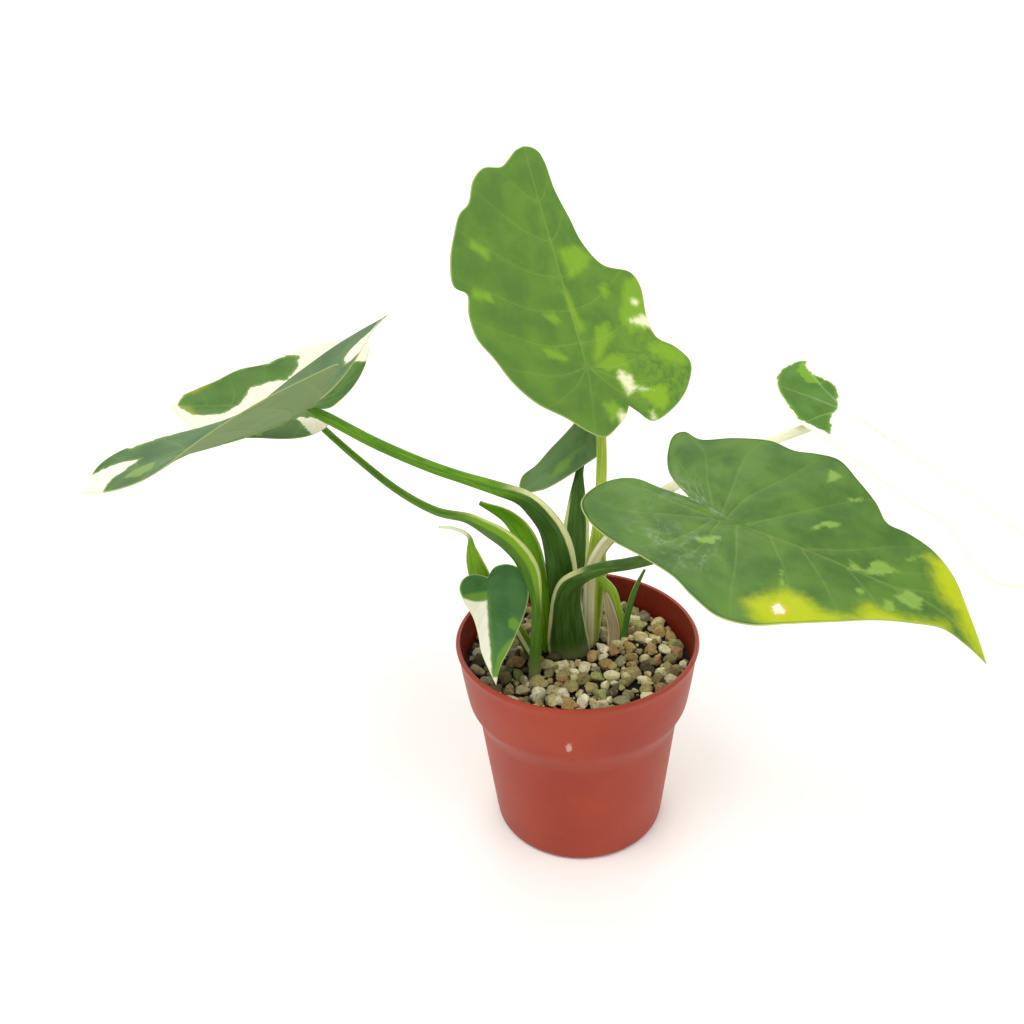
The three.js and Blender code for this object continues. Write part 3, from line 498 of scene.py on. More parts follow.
def blade_faces(flat, count):
    """Upper and lower face of the blade, joined around the margin."""
    n = len(flat)
    upper = []
    for t in tessellate_polygon([[Vector((u, v, 0)) for u, v in flat[:count]]]):
        (ux, uy), (vx, vy) = flat[t[1]] - flat[t[0]], flat[t[2]] - flat[t[0]]
        upper.append(list(t) if ux * vy - uy * vx > 0 else list(t)[::-1])
    upper += quads(0, n // count, count)
    lower = [[n + i for i in f[::-1]] for f in upper]
    i = np.arange(count)
    j = (i + 1) % count
    last = n - count
    return upper + lower + np.stack([last + i, n + last + i, n + last + j, last + j], 1).tolist()


def make_blade(name, steps, rings):
    leaf = LEAVES[name]
    flat, margin_by, count = blade_rings(leaf, steps, rings)
    veins = [leaf["midrib"]] + list(RIGHT_VEINS if name == "leaf_right" else side_veins(leaf))
    side, share, main = vein_field(flat, veins)
    by_rank = lambda pair: np.where(main > 0, *pair)
    d = np.abs(side)
    x, y = flat[:, 0], flat[:, 1]
    fade = np.clip(margin_by / MARGIN_FADE, 0, 1)
    taper = 1 - 0.8 * share
    ridge = by_rank(RIDGE) * taper * np.exp(-(d / (by_rank(RIDGE_WIDTH) * (0.4 + 0.6 * taper))) ** 2)
    groove = by_rank(GROOVE) * taper * np.exp(-(d / GROOVE_WIDTH) ** 2)
    base = height(leaf, x, y) + QUILT * (1 - np.exp(-(d / QUILT_WIDTH) ** 2)) * fade
    half = BLADE_THICKNESS / 2 * np.clip((margin_by / MARGIN_THINS) ** 0.5, 0.12, 1)
    a, b, c = axes(leaf["turn"])
    place = lambda up: np.array(leaf["joint"]) + x[:, None] * a + y[:, None] * b + up[:, None] * c
    points = np.vstack([place(base + half - groove * fade), place(base - half - ridge * fade)])

    pale, lime, gold = (field(flat, MARKS.get((name, kind), ())) for kind in ("pale", "lime", "gold"))
    if (name, "green") in MARKS:
        pale = np.maximum(pale, -field(flat, MARKS[name, "green"]))
    near = np.exp(-(d / 3.2) ** 2)
    n = len(flat)
    twice = lambda *v: np.tile(np.stack(v, 1), (2, 1))
    obj = make_mesh(name + "_leaf", points, blade_faces(flat, count), {
        "flat": twice(x, y, margin_by),
        "ribs": twice(side, near, by_rank((1, 0.45)) * (1 - 0.6 * share)),
        "marks": twice(pale, lime, gold),
        "sides": np.stack([np.r_[np.ones(n), np.zeros(n)], np.zeros(2 * n), np.zeros(2 * n)], 1),
    })
    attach(obj, "root")
    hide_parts(name + "_blade")
    return obj


# Stalks and narrow leaves
def make_stalk(name, spec, node, steps=110, arc=14, neck=1):
    """A loft from a crescent sheath to a round stalk, drawn in to the neck's share at its end."""
    line = curve(spec["path"], steps)
    along = np.gradient(line, axis=0)
    along /= np.linalg.norm(along, axis=1)[:, None]
    reference = np.array(spec["outward"], float)
    out = reference - along * (along @ reference)[:, None]
    out /= np.linalg.norm(out, axis=1)[:, None]
    side = np.cross(along, out)
    share = np.linspace(0, 1, steps)
    table = np.array(spec["sizes"], float)
    sizes = np.stack([np.interp(share, table[:, 0], table[:, k]) for k in (1, 2, 3)], 1)
    kernel = np.hanning(9)[1:-1]
    kernel /= kernel.sum()
    padded = np.pad(sizes, ((3, 3), (0, 0)), "edge")
    sizes = np.stack([np.convolve(padded[:, k], kernel, "valid") for k in range(3)], 1)
    angle = np.linspace(-pi / 2, pi / 2, arc + 1)
    across = np.r_[np.sin(angle), np.sin(angle)[-2:0:-1]]
    bulge = np.r_[np.cos(angle), np.cos(angle)[-2:0:-1]]
    inner = np.r_[np.zeros(arc + 1), np.ones(arc - 1)]
    count = len(across)
    points, marks = [], []
    for i in range(steps):
        width, depth, hollow = sizes[i]
        depths = np.where(inner > 0, depth * hollow, depth) * bulge
        draw = 1 - (1 - neck) * np.clip((share[i] - 0.965) / 0.035, 0, 1) ** 2
        ring = across[:, None] * width * side[i] + depths[:, None] * out[i]
        points.append(line[i] + ring * draw)
        marks.append(np.stack([np.full(count, share[i]), across, inner * (hollow > -0.8)], 1))
    points, marks = np.vstack(points), np.vstack(marks)
    faces = quads(0, steps, count)
    faces.append(list(range(count))[::-1])
    faces.append([(steps - 1) * count + i for i in range(count)])
    length = np.linalg.norm(np.diff(line, axis=0), axis=1).sum()
    run = np.stack([marks[:, 0] * length, marks[:, 1] * 4, marks[:, 2]], 1)
    obj = make_mesh(name, points, faces, {"stem": marks, "run": run})
    face_out(obj)
    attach(obj, "root")
    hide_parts(node)
    return obj


def widened(spec, low, high, scale, shift):
    """The stalk with its width scaled and its path pushed out between two shares of its length."""
    sizes = [(t, w * scale if low < t < high else w, d, h) for t, w, d, h in spec["sizes"]]
    last = len(spec["path"]) - 1
    bump = [sin(pi * np.clip((k / last - low) / (high - low), 0, 1)) for k in range(last + 1)]
    path = [tuple(np.array(q) + np.array(shift) * b) for q, b in zip(spec["path"], bump)]
    return dict(spec, sizes=sizes, path=path)


# Finishes
def linear(text):
    """A colour written as six hex digits, as linear light."""
    parts = [int(text[i:i + 2], 16) / 255 for i in (0, 2, 4)]
    return [p / 12.92 if p <= 0.04045 else ((p + 0.055) / 1.055) ** 2.4 for p in parts] + [1]


class Finish:
    """A material and short words for its nodes."""

    def __init__(self, name):
        self.material = bpy.data.materials.new(name)
        self.material.use_nodes = True
        self.tree = self.material.node_tree
        self.tree.nodes.clear()

    def node(self, kind, inputs=None, **settings):
        made = self.tree.nodes.new("ShaderNode" + kind)
        for key, value in settings.items():
            setattr(made, key, value)
        for key, value in (inputs or {}).items():
            if isinstance(value, bpy.types.NodeSocket):
                self.tree.links.new(value, made.inputs[key])
            else:
                made.inputs[key].default_value = value
        return made

    def math(self, operation, a, b=0):
        return self.node("Math", {0: a, 1: b}, operation=operation).outputs[0]

    def times(self, first, *others):
        for value in others:
            first = self.math("MULTIPLY", first, value)
        return first

    def plus(self, a, b):
        return self.math("ADD", a, b)

    def minus(self, a, b):
        return self.math("SUBTRACT", a, b)

    def rest(self, share):
        return self.minus(1, share)

    def apart(self, vector):
        parts = self.node("SeparateXYZ", {0: vector}).outputs
        return parts[0], parts[1], parts[2]

    def split(self, name):
        """A mesh attribute, whole and as its three parts."""
        mark = self.node("Attribute", attribute_name=name, attribute_type="GEOMETRY")
        vector = mark.outputs["Vector"]
        return vector, *self.apart(vector)

    def place(self):
        return self.node("TexCoord").outputs["Object"]

    def noise(self, vector, scale, detail=3, rough=0.5, distortion=0):
        inputs = {"Vector": vector, "Scale": scale, "Detail": detail, "Roughness": rough}
        return self.node("TexNoise", dict(inputs, Distortion=distortion)).outputs["Fac"]

    def step(self, value, low, high):
        inputs = {"Value": value, "From Min": low, "From Max": high}
        return self.node("MapRange", inputs, interpolation_type="SMOOTHSTEP").outputs[0]

    def mix(self, share, a, b):
        a, b = (linear(c) if isinstance(c, str) else c for c in (a, b))
        return self.node("Mix", {0: share, 6: a, 7: b}, data_type="RGBA").outputs[2]

    def tint(self, color, over, *shares):
        return self.mix(self.times(*shares), color, over)

    def scaled(self, vector, size):
        return self.node("Mapping", {"Vector": vector, "Scale": size}).outputs[0]

    def finish(self, color, rough, bump=None, specular=0.5, glow=None, glow_share=0):
        """bump: height, strength and depth in metres. glow: the colour of light that comes through."""
        inputs = {"Base Color": color, "Roughness": rough, "Specular IOR Level": specular}
        if bump is not None:
            value, strength, depth = bump
            relief = {"Height": value, "Strength": strength, "Distance": depth}
            inputs["Normal"] = self.node("Bump", relief).outputs[0]
        shader = self.node("BsdfPrincipled", inputs).outputs[0]
        if glow is not None:
            through = self.node("BsdfTranslucent", {"Color": glow}).outputs[0]
            shader = self.node("MixShader", {0: glow_share, 1: shader, 2: through}).outputs[0]
        self.node("OutputMaterial", {"Surface": shader})
        return self.material


FILM_CENTRE = (-7, -4, 0)


def chalky_film(f, flat, color, amount):
    """Film, tide lines and chalk of dried water around the leaf's joint."""
    away = f.node("VectorMath", {0: flat, 1: FILM_CENTRE}, operation="DISTANCE")
    ring = f.rest(f.step(away.outputs["Value"], 5, 34))
    film = f.times(f.step(f.noise(flat, 0.16, 6, 0.65, 1.2), 0.44, 0.72), ring)
    color = f.tint(color, "b9c4ae", film, amount)
    level = f.math("ABSOLUTE", f.minus(f.noise(flat, 0.11, 3, 0.55, 0.6), 0.53))
    here = f.step(f.noise(flat, 0.05, 2, 0.5), 0.46, 0.56)
    line = f.times(f.rest(f.step(level, 0.002, 0.009)), here, f.step(ring, 0.05, 0.5))
    color = f.tint(color, "d3dccb", line, 0.4)
    chalk = f.times(f.step(f.noise(flat, 0.55, 5, 0.75, 2), 0.6, 0.7), f.step(ring, 0.35, 0.9))
    return f.tint(color, "dfe6da", chalk, 0.5)


def leaf_finish(name, dark, mid, pale="f3f0dc", lime="a3c266", gold="a9b400", under="8fa57c", gloss=0.4,
                residue=0, glow_share=0.16, rib="9db45e", veins=0.5, soft=1, torn=1, around=None,
                tide=(-3, 1.2), fresh=0):
    """soft and torn: how the marks' edges run. tide: the yellow's reach, in mm. fresh: lime on one lobe."""
    f = Finish(name)
    flat, x, y, edge = f.split("flat")
    _, side, near, size = f.split("ribs")
    _, pale_by, lime_by, gold_by = f.split("marks")
    _, face, _, _ = f.split("sides")
    broad = f.noise(flat, 0.07, 4, 0.55)
    patchy = f.noise(flat, 0.35, 5, 0.6)
    fine = f.noise(flat, 1.6, 4, 0.6)
    speck = f.noise(flat, 6, 2, 0.5)
    green = f.mix(f.step(broad, 0.35, 0.65), dark, mid)
    green = f.tint(green, mid, f.step(patchy, 0.45, 0.75), 0.35)
    green = f.tint(green, lime, near, 0.2 * veins)
    green = f.tint(green, "203a12", f.step(speck, 0.55, 0.8), 0.12)
    ragged = f.plus(f.times(f.minus(patchy, 0.5), 3.2 * torn), f.times(f.minus(fine, 0.5), 1.4 * torn))
    gold_at = f.step(f.plus(gold_by, f.times(ragged, 1.2)), *tide)
    color = f.tint(green, gold, gold_at, 0.92)
    if fresh:
        low = f.rest(f.step(f.plus(x, f.times(ragged, 4)), -2, 30))
        far = f.step(f.minus(0, y), 6, 26)
        color = f.tint(color, lime, low, far, f.times(f.step(patchy, 0.36, 0.6), fresh))
    lime_at = f.step(f.plus(lime_by, ragged), -0.5 * soft, 0.35 * soft)
    color = f.tint(color, lime, lime_at, 0.8)
    pale_ragged = f.plus(pale_by, ragged)
    color = f.tint(color, around or lime, f.step(pale_ragged, -1.6, 0.2), 0.55)
    pale_at = f.step(pale_ragged, -0.15 * soft, 0.45 * soft)
    color = f.mix(pale_at, color, f.tint(pale, "e3e2b4", f.step(patchy, 0.5, 0.8), 0.35))
    line = f.times(f.rest(f.step(f.math("ABSOLUTE", side), 0.12, 0.55)), f.step(near, 0.3, 0.7), size)
    color = f.tint(color, rib, line, 1.2 * veins)
    color = f.tint(color, "c9d487", f.rest(f.step(edge, 0.15, 0.7)), 0.55)
    if residue:
        color = chalky_film(f, flat, color, residue)
    back = f.mix(0.55, color, under)
    back = f.tint(back, "93a83e", line, size, 0.7)
    color = f.mix(face, back, color)
    rough = f.plus(f.plus(f.times(patchy, 0.16), gloss), f.times(f.rest(face), 0.14))
    grain = f.plus(f.times(fine, 0.6), f.times(speck, 0.25))
    return f.finish(color, rough, (grain, 0.35, 0.0004), 0.22, f.mix(pale_at, "7fae2a", "f4efc8"), glow_share)


def stalk_finish(name, dark, light, lip="d9dba6", lip_to=0.5, lips=(0.9, 0.8), inner=None, flank=None,
                 gloss=0.4, glow_share=0.12, lip_at=-1, foot=None, tip=None):
    """lips: where the cream margins start, to the left and to the right of the back's middle.
    lip_at and lip_to: the stretch that has them. foot: dark and light colour below lip_to."""
    f = Finish(name)
    _, share, across, inside = f.split("stem")
    run = f.split("run")[0]
    streaks = f.noise(f.scaled(run, (0.06, 1.2, 1)), 1, 4, 0.6)
    fine = f.noise(f.scaled(run, (0.3, 3, 1)), 1, 3, 0.6)
    streaked = f.step(streaks, 0.38, 0.66)
    color = f.mix(streaked, dark, light)
    color = f.tint(color, light, f.step(fine, 0.5, 0.8), 0.25)
    wander = f.plus(across, f.times(f.minus(streaks, 0.5), 0.3))
    low = f.rest(f.step(f.plus(share, f.times(fine, 0.05)), lip_to, lip_to + 0.1))
    if foot:
        color = f.mix(low, color, f.mix(streaked, *foot))
    low = f.times(low, f.step(share, lip_at, lip_at + 0.08))
    if flank:
        start, flank_color = flank
        color = f.tint(color, flank_color, f.step(wander, start, start + 0.25), low)
    if inner:
        color = f.mix(inside, color, inner)
    left = f.step(f.times(wander, -1), lips[0], lips[0] + 0.07)
    right = f.step(wander, lips[1], lips[1] + 0.07)
    color = f.tint(color, lip, f.math("MAXIMUM", left, right), low)
    if tip:
        start, tip_color = tip
        color = f.mix(f.step(share, start, start + 0.06), color, tip_color)
    base = f.rest(f.step(f.plus(share, f.times(streaks, 0.08)), 0.06, 0.16))
    color = f.tint(color, "b9b184", base, 0.3)
    rough = f.plus(f.times(streaks, 0.2), gloss)
    return f.finish(color, rough, (fine, 0.3, 0.0003), 0.22, f.mix(0.35, color, "c4e05a"), glow_share)


def pot_finish():
    f = Finish("pot_plastic")
    place = f.place()
    x, y, z = f.apart(place)
    cloud = f.noise(place, 28, 4, 0.55)
    grain = f.noise(place, 900, 3, 0.6)
    color = f.mix(f.step(cloud, 0.35, 0.7), "8f301a", "9a3923")
    color = f.tint(color, "772817", f.step(grain, 0.5, 0.8), 0.12)
    # Painted shade: the inside wall above the soil is darkened toward 5c1409, standing in for the shade
    # inside the rim
    normal_x, normal_y, _ = f.apart(f.node("NewGeometry").outputs["Normal"])
    outward = f.plus(f.times(normal_x, x), f.times(normal_y, y))
    inside = f.times(f.rest(f.step(outward, -0.03, -0.008)), f.step(z, 0.04, 0.05))
    color = f.tint(color, "5c1409", inside, 0.6)
    away = f.node("VectorMath", {0: place, 1: SCUFF}, operation="SUBTRACT").outputs[0]
    away_x, _, away_z = f.apart(away)
    wide, tall = f.times(away_x, 850), f.times(away_z, 420)
    reach = f.math("SQRT", f.plus(f.times(wide, wide), f.times(tall, tall)))
    torn = f.plus(reach, f.times(f.minus(f.noise(place, 700, 4, 0.7), 0.5), 1.6))
    scuff = f.times(f.rest(f.step(torn, 0.5, 1.1)), f.step(y, 0, -0.01))
    color = f.tint(color, "cfa89a", scuff, 0.6)
    dust = f.times(f.step(f.noise(place, 160, 5, 0.65), 0.6, 0.85), 0.14)
    color = f.mix(dust, color, "d29a86")
    turning = f.math("SINE", f.times(z, 5200))
    relief = f.plus(f.times(grain, 0.7), f.times(turning, 0.04))
    return f.finish(color, f.plus(f.times(cloud, 0.18), 0.36), (relief, 0.18, 0.0003), 0.25)


def grit_finish():
    f = Finish("mixed_stones")
    _, tone, _, bed = f.split("tone")
    place = f.place()
    ramp = f.node("ValToRGB", {0: tone})
    ramp.color_ramp.interpolation = "CONSTANT"
    stops = ((0, "c2b582"), (0.18, "9c8f5a"), (0.32, "d6cda2"), (0.46, "7d7445"), (0.56, "aa8c58"),
             (0.65, "857d60"), (0.73, "97704a"), (0.79, "8f9158"), (0.88, "4a3f2d"), (0.94, "e4dcba"))
    ramp.color_ramp.elements[0].color = linear(stops[0][1])
    ramp.color_ramp.elements[1].position = stops[1][0]
    ramp.color_ramp.elements[1].color = linear(stops[1][1])
    for at, color in stops[2:]:
        ramp.color_ramp.elements.new(at).color = linear(color)
    spots = f.noise(place, 1400, 4, 0.65)
    cloud = f.noise(place, 420, 5, 0.65)
    moss = f.noise(place, 75, 4, 0.6)
    color = f.tint(ramp.outputs[0], "54492f", f.step(cloud, 0.48, 0.72), 0.45)
    color = f.tint(color, "2f271a", f.step(spots, 0.5, 0.7), 0.55)
    color = f.tint(color, "d8cfae", f.step(spots, 0.42, 0.3), 0.3)
    color = f.tint(color, "7c8440", f.step(moss, 0.54, 0.72), 0.4)
    # Stones darker towards the left side of the bed, toward 2e2618
    darker_left = f.plus(f.apart(place)[0], f.times(f.minus(f.noise(place, 110, 3, 0.5), 0.5), 0.06))
    color = f.tint(color, "2e2618", f.rest(f.step(darker_left, -0.034, 0)), 0.62)
    color = f.mix(bed, color, f.mix(f.step(cloud, 0.5, 0.75), "17110b", "44361f"))
    relief = f.plus(cloud, f.times(spots, 0.5))
    return f.finish(color, f.plus(f.times(cloud, 0.2), 0.72), (relief, 0.8, 0.0006), 0.3)


def earth_finish(name, dark, light, scale):
    f = Finish(name)
    crumb = f.noise(f.place(), scale, 6, 0.7)
    color = f.mix(f.step(crumb, 0.35, 0.7), dark, light)
    return f.finish(color, f.plus(f.times(crumb, 0.1), 0.85), (crumb, 0.8, 0.001), 0.2)


# Pot
def make_pot():
    line = curve(POT_PROFILE, POT_RINGS)
    turn = np.linspace(0, 2 * pi, POT_SEGMENTS, endpoint=False)
    ring = np.stack([np.cos(turn), np.sin(turn)], 1)
    points = np.vstack([np.column_stack([ring * r, np.full(POT_SEGMENTS, z)]) for r, z in line])
    faces = quads(0, POT_RINGS, POT_SEGMENTS)
    under, floor = len(points), len(points) + 1
    points = np.vstack([points, [[0, 0, 0], [0, 0, POT_FLOOR]]])
    last = (POT_RINGS - 1) * POT_SEGMENTS
    for i in range(POT_SEGMENTS):
        j = (i + 1) % POT_SEGMENTS
        faces.append([under, i, j])
        faces.append([floor, last + j, last + i])
    pot = make_mesh("pot_shell", points, faces, {})
    face_out(pot)
    cut_drains(pot)
    pot.data.polygons.foreach_set("use_smooth", [True] * len(pot.data.polygons))
    pot.data.set_sharp_from_angle(angle=radians(40))
    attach(pot, "root")
    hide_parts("pot")
    return pot


def cut_drains(pot):
    cutter = bmesh.new()
    for k in range(DRAINS):
        angle = k * 2 * pi / DRAINS
        at = Matrix.Translation((DRAIN_CIRCLE * cos(angle), DRAIN_CIRCLE * sin(angle), 0))
        bmesh.ops.create_cone(cutter, cap_ends=True, segments=32, radius1=DRAIN_RADIUS, radius2=DRAIN_RADIUS,
                              depth=DRAIN_DEPTH, matrix=at)
    mesh = bpy.data.meshes.new("drains")
    cutter.to_mesh(mesh)
    cutter.free()
    drains = link("drains", mesh)
    cut = pot.modifiers.new("drains", "BOOLEAN")
    cut.object, cut.operation, cut.solver = drains, "DIFFERENCE", "EXACT"
    graph = bpy.context.evaluated_depsgraph_get()
    holed = bpy.data.meshes.new_from_object(pot.evaluated_get(graph))
    pot.modifiers.clear()
    pot.data = holed
    bpy.data.objects.remove(drains)


# Grit: loose stones on a crumbly bed
def mound(radius):
    return 67 + 3 * (1 - (radius / 45) ** 2)


def rough_ball(rng, unit):
    """A ball with nine broken faces and a low swell."""
    shape = unit.copy()
    for _ in range(9):
        n = rng.normal(size=3)
        n /= np.linalg.norm(n)
        depth = rng.uniform(0.5, 0.88)
        over = np.maximum(shape @ n - depth, 0)
        shape -= over[:, None] * n * 0.98
    for _ in range(4):
        k = rng.normal(size=3) * 4
        shape *= 1 + 0.03 * np.sin(unit @ k + rng.uniform(0, 6))[:, None]
    return shape * np.array([1.12, rng.uniform(0.8, 1.05), rng.uniform(0.62, 0.9)])


def stone_places(rng):
    """Stones as x, y, size and height above the bed: large ones, fine gravel, then a few on top."""
    stems = [(LEAVES[k]["path"][0][:2], LEAVES[k]["sizes"][0][1] + 0.6) for k in LEAVES]
    spots = []
    small, large = STONE_SIZES
    for size in np.sort(rng.uniform(0, 1, STONE_TRIES) ** 2.2)[::-1] * (large - small) + small:
        for _ in range(26):
            r, a = GRIT_RADIUS * sqrt(rng.uniform()), rng.uniform(0, 2 * pi)
            x, y = r * cos(a), r * sin(a)
            if r + size > GRIT_RADIUS:
                continue
            if any(hypot(x - sx, y - sy) < size * 0.7 + room * 0.75 for (sx, sy), room in stems):
                continue
            bare = sin(x * 0.23 + 1.2) * sin(y * 0.27 - 0.7) + 0.5 * sin(x * 0.51 - y * 0.38)
            if bare < -0.42 and rng.uniform() < 0.75:
                continue
            if all(hypot(x - p[0], y - p[1]) > 0.84 * (size + p[2]) for p in spots):
                spots.append((x, y, size))
                break
    spots.append(BIG_STONE)
    layers = [(x, y, s, 0) for x, y, s in spots]
    for _ in range(CRUMBS):
        r, a = (GRIT_RADIUS - 1) * sqrt(rng.uniform()), rng.uniform(0, 2 * pi)
        x, y = r * cos(a), r * sin(a)
        if all(hypot(x - sx, y - sy) > room + 0.5 for (sx, sy), room in stems):
            layers.append((x, y, rng.uniform(*CRUMB_SIZES), rng.uniform(-0.2, 0.3)))
    for x, y, s, _ in layers[:len(spots) // 3]:
        a = rng.uniform(0, 2 * pi)
        size = rng.uniform(*UPPER_SIZES)
        nx, ny = x + s * cos(a), y + s * sin(a)
        clear = all(hypot(nx - sx, ny - sy) > size + room for (sx, sy), room in stems)
        if hypot(nx, ny) + size < GRIT_RADIUS and clear:
            layers.append((nx, ny, size, rng.uniform(0.5, 1.2)))
    return layers


def crumbly_bed():
    """Points and faces of the fine bed under the stones."""
    segments, rings = 120, 34
    turn = np.linspace(0, 2 * pi, segments, endpoint=False)
    ring = np.stack([np.cos(turn), np.sin(turn)], 1)
    bed = []
    for radius in np.linspace(1, BED_RADIUS, rings):
        x, y = (ring * radius).T
        bumps = 0.5 * np.sin(x * 1.9 + 1) * np.sin(y * 2.3) + 0.35 * np.sin(x * 4.1 + y * 3.3)
        bed.append(np.column_stack([x, y, mound(radius) + 1.9 + bumps]))
    for radius in (BED_RADIUS, 1):
        bed.append(np.column_stack([ring * radius, np.full(segments, BED_FLOOR)]))
    faces = quads(0, rings + 2, segments)
    faces.append(list(range(segments)))
    faces.append([(rings + 1) * segments + i for i in range(segments)][::-1])
    return np.vstack(bed), faces


def make_grit():
    rng = np.random.default_rng(GRIT_SEED)
    ball = bmesh.new()
    bmesh.ops.create_icosphere(ball, subdivisions=3, radius=1)
    unit = np.array([v.co for v in ball.verts])
    unit_faces = np.array([[v.index for v in face.verts] for face in ball.faces])
    ball.free()
    points, faces, tones = [], [], []
    for n, (x, y, s, raised) in enumerate(stone_places(rng)):
        shape = rough_ball(rng, unit)
        turn = Matrix.Rotation(rng.uniform(0, 6.28), 3, "Z") @ Matrix.Rotation(rng.normal() * 0.5, 3, "X")
        z = mound(hypot(x, y)) + 2.6 + s * rng.uniform(0.15, 0.5) + raised
        points.append(shape @ np.array(turn).T * s + np.array([x, y, z]))
        faces += (unit_faces + n * len(unit)).tolist()
        tones.append(np.tile([rng.uniform(), rng.uniform(), 0], (len(unit), 1)))
    bed, bed_faces = crumbly_bed()
    start = len(points) * len(unit)
    faces += [[start + i for i in f] for f in bed_faces]
    points.append(bed)
    tones.append(np.tile([0.5, 0.5, 1], (len(bed), 1)))
    grit = make_mesh("grit_stones", np.vstack(points), faces, {"tone": np.vstack(tones)})
    grit.data.set_sharp_from_angle(angle=radians(24))
    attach(grit, "root")
    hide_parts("grit")
    return grit


# Leaf blades: steps along each margin, rings, slot and finish
BLADES = {
    "leaf_right": (215, 74, "leaf_green", leaf_finish(
        "leaf_deep", "3e6424", "557b2a", pale="f8e8cf", residue=0.6, lime="86a946", gold="b3c000", veins=0.26,
        around="dcb04c", soft=1.6, tide=(-4.3, 2.2))),
    "leaf_top": (190, 66, "leaf_bright", leaf_finish(
        "leaf_fresh", "537a2f", "638b31", pale="e8ebbf", lime="86b02a", gold="9ac018", glow_share=0.24,
        veins=0.34, soft=4, fresh=0.42)),
    "leaf_high_left": (190, 66, "leaf_green", leaf_finish(
        "leaf_frosted", "43653a", "58794a", lime="86a44c", under="90a468", gloss=0.46, veins=0.4)),
    "leaf_low_left": (150, 50, "leaf_green", leaf_finish(
        "leaf_variegated", "3f6626", "557c38", lime="8bab58", gold="a5a428", under="a6bc84", gloss=0.46,
        glow_share=0.24, veins=0.3)),
    "leaf_white": (140, 46, "leaf_white", leaf_finish(
        "leaf_ivory", "45701f", "5a8434", pale="fdfcf4", lime="7ca824", gold="f0efc0", under="f8f8ee",
        glow_share=0.2, rib="f4f3e0", veins=0.3)),
    "leaf_back": (70, 24, "leaf_green", leaf_finish(
        "leaf_shaded", "4f7540", "6a8a55", lime="7ba23c", under="7f9e78", veins=0.2, soft=2.4, rib="7f9f60")),
    "leaf_folded": (110, 36, "leaf_green", leaf_finish(
        "leaf_small", "2e5c28", "44723a", lime="6f9a34", under="7f9e78", veins=0.16, soft=1.6, torn=0.35,
        rib="6f9460")),
}
for name, (steps, rings, slot, finish) in BLADES.items():
    blade = make_blade(name, steps, rings)
    blade.data.materials.append(finish)

STALKS = {
    "leaf_right": ("stalk_dark", stalk_finish(
        "stalk_deep", "35581a", "51762a", "c3c88a", 0.42, (0.84, 0.9), foot=("2b4a13", "426422"))),
    "leaf_top": ("stalk_light", stalk_finish("stalk_fresh", "93ad2e", "b8cb54", "cfd48e", 0.4, (0.8, 0.8))),
    "leaf_high_left": ("stalk_green", stalk_finish(
        "stalk_mid", "46750c", "67961a", "d2d598", 0.5, (0.93, 0.84), foot=("305212", "466f20"))),
    "leaf_low_left": ("stalk_green", stalk_finish(
        "stalk_low", "44700f", "5f8c18", "b6c174", 0.46, (0.97, 0.9), "6f9614", (0.4, "6c9612"), lip_at=0.2,
        foot=("3a6212", "547c20"))),
    "leaf_white": ("stalk_cream", stalk_finish(
        "stalk_ivory", "f1eeda", "fbf8ea", "f3efd8", 0.5, (0.8, 0.9), None, (0, "93a836"), 0.4, 0.4,
        foot=("c5bd8c", "ddd6ae"))),
    "leaf_back": ("stalk_dark", stalk_finish("stalk_shade", "2e520f", "456c1a", "ccd094", 0.7, (0.72, 0.72))),
    "leaf_folded": ("stalk_green", stalk_finish(
        "stalk_small", "3f6724", "5f8438", "c8cf8c", 0.6, (0.9, 0.8))),
}
# Stretches that are wider or narrower than the solids: from, to, scale and shift
WIDER = {"leaf_low_left": (0.25, 0.5, 1.3, (-0.3, 0, 1.3)), "leaf_white": (-1, 0.3, 0.74, (-1.6, 0, 0))}
for name, (slot, finish) in STALKS.items():
    spec = widened(LEAVES[name], *WIDER[name]) if name in WIDER else dict(LEAVES[name])
    # The stalk ends a millimetre under the blade's joint
    seat = np.array(spec["joint"]) - axes(spec["turn"])[2]
    spec["path"] = (*spec["path"][:-1], seat)
    stalk = make_stalk(name + "_stem", spec, name + "_stalk", neck=0.45)
    stalk.data.materials.append(finish)

NARROW_LOOKS = {
    "leaf_slip": ("leaf_new", stalk_finish(
        "slip_green", "5f8c10", "84b01c", "e6e6ba", 1, (0.93, 0.93), "97be2c", None, 0.4, 0.3,
        tip=(0.82, "efeed2"))),
    "leaf_new": ("leaf_new", stalk_finish(
        "new_green", "5a920c", "82b61c", "dfe2a4", 1, (0.9, 0.9), "94c22c", None, 0.4, 0.3)),
    "offset_leaf_left": ("leaf_new", stalk_finish(
        "offset_pale", "769a22", "9cb93e", "d3d996", 1, (0.9, 0.9), "a6c04e", None, 0.4, 0.3)),
    "offset_leaf_right": ("stalk_dark", stalk_finish(
        "offset_deep", "34621e", "4f7c30", "9ab45a", 1, (0.93, 0.93), "5d8a3a", None, 0.4, 0.2)),
    "dry_scale": ("dry_scale", stalk_finish(
        "dry_paper", "94805c", "bbab86", "cfc3a2", 1, (0.8, 0.8), "7d6848", None, 0.75, 0.2)),
}
for name, (slot, finish) in NARROW_LOOKS.items():
    narrow = make_stalk(name + "_form", NARROW[name], name, 90)
    narrow.data.materials.append(finish)

pot = make_pot()
pot.data.materials.append(pot_finish())
grit = make_grit()
grit.data.materials.append(grit_finish())
for node, finish in (
        ("soil", earth_finish("damp_soil", "1d150e", "3c2c1e", 500)),
        ("corm", earth_finish("corm_skin", "5a4330", "8a6c4e", 350))):
    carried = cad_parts[node]
    carried.data.materials.clear()
    carried.data.materials.append(finish)

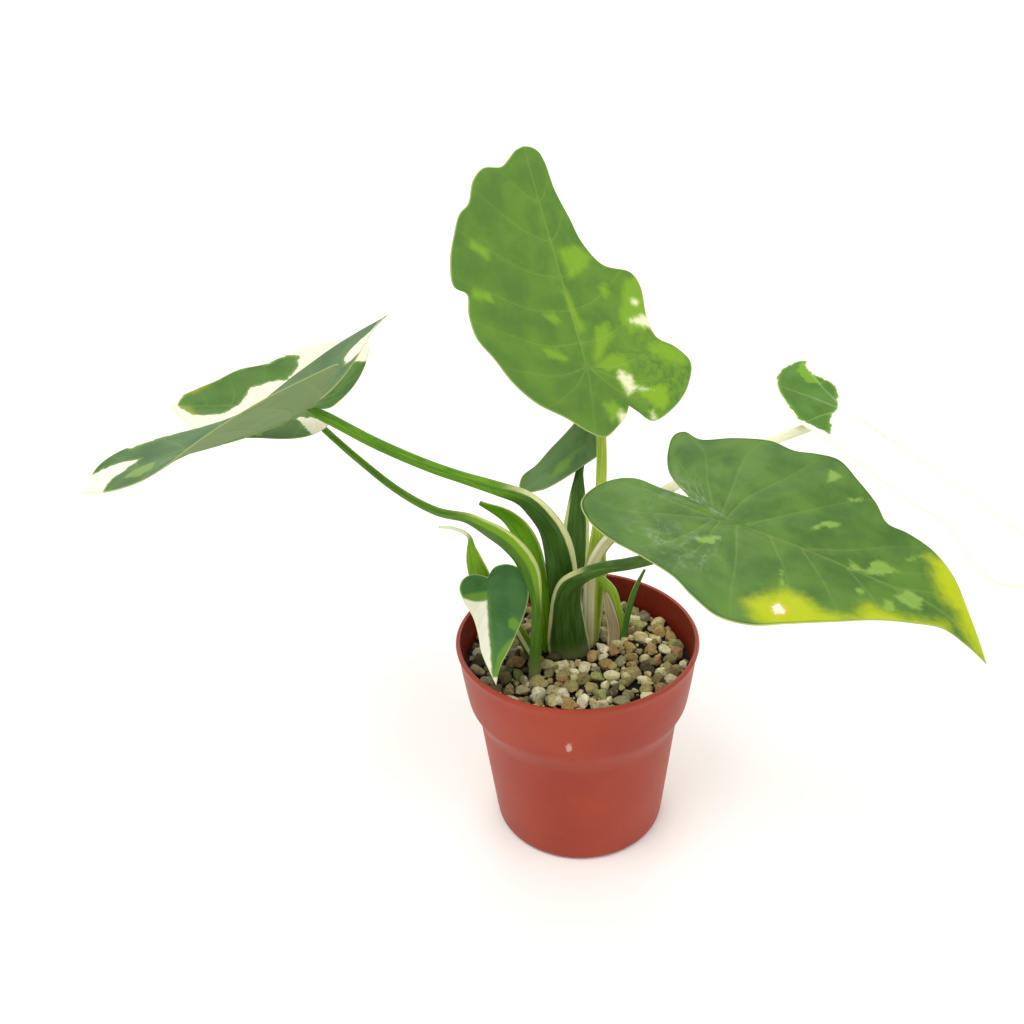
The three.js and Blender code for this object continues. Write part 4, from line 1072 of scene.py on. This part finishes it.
# Floor and backdrop in one sweep, in metres
quarter = np.linspace(0, pi / 2, 16)
bend = [(-2.5, 0)] + [(0.9 + 0.6 * sin(a), 0.6 - 0.6 * cos(a)) for a in quarter] + [(1.5, 3)]
sweep_points = [(x, y, z) for y, z in bend for x in (-3, 3)]
sweep_faces = [[2 * i, 2 * i + 1, 2 * i + 3, 2 * i + 2] for i in range(len(bend) - 1)]
sweep = bpy.data.meshes.new("sweep")
sweep.from_pydata(sweep_points, [], sweep_faces)
sweep.polygons.foreach_set("use_smooth", [True] * len(sweep.polygons))
floor = link("floor", sweep)
paper = Finish("paper")
soft = paper.noise(paper.place(), 3, 2)
floor.data.materials.append(paper.finish(paper.mix(soft, "f3f1ee", "f6f5f2"), 0.9, None, 0.1))

# Light
scene = bpy.context.scene
scene.world = bpy.data.worlds.new("studio")
scene.world.use_nodes = True
sky = scene.world.node_tree.nodes["Background"].inputs
sky[0].default_value = (1, 0.995, 0.985, 1)
sky[1].default_value = 1


def area(name, at, aim, size, power, color):
    light = bpy.data.lights.new(name, "AREA")
    light.shape, light.size, light.energy, light.color = "DISK", size, power, color
    lamp = link(name, light)
    lamp.location = at
    lamp.rotation_euler = (Vector(aim) - Vector(at)).to_track_quat("-Z", "Y").to_euler()


area("key", (-0.5, -0.5, 1.5), (0, 0, 0.1), 0.9, 10, (1, 0.985, 0.96))
area("fill", (1, -0.7, 1), (0, 0, 0.1), 1.2, 3.5, (0.98, 0.99, 1))
area("back", (0.1, 1, 1.1), (0, 0, 0.15), 1, 5, (1, 1, 0.98))

# Camera at the photograph's viewing angle
CAMERA_AT = (-0.021811, -0.315425, 0.300707)
CAMERA_DOWN = radians(27.86)
CAMERA_ROLL = -0.048
forward = Vector((0, cos(CAMERA_DOWN), -sin(CAMERA_DOWN)))
right = Vector((1, 0, 0))
up = right.cross(forward)
camera_right = right * cos(CAMERA_ROLL) + up * sin(CAMERA_ROLL)
camera_up = up * cos(CAMERA_ROLL) - right * sin(CAMERA_ROLL)
lens = bpy.data.cameras.new("camera")
lens.lens, lens.sensor_width = 36.07, 36
camera = link("camera", lens)
turn = Matrix((camera_right, camera_up, -forward)).transposed().to_4x4()
camera.matrix_world = Matrix.Translation(CAMERA_AT) @ turn
scene.camera = camera
scene.view_settings.view_transform = "Standard"

bpy.context.view_layer.update()
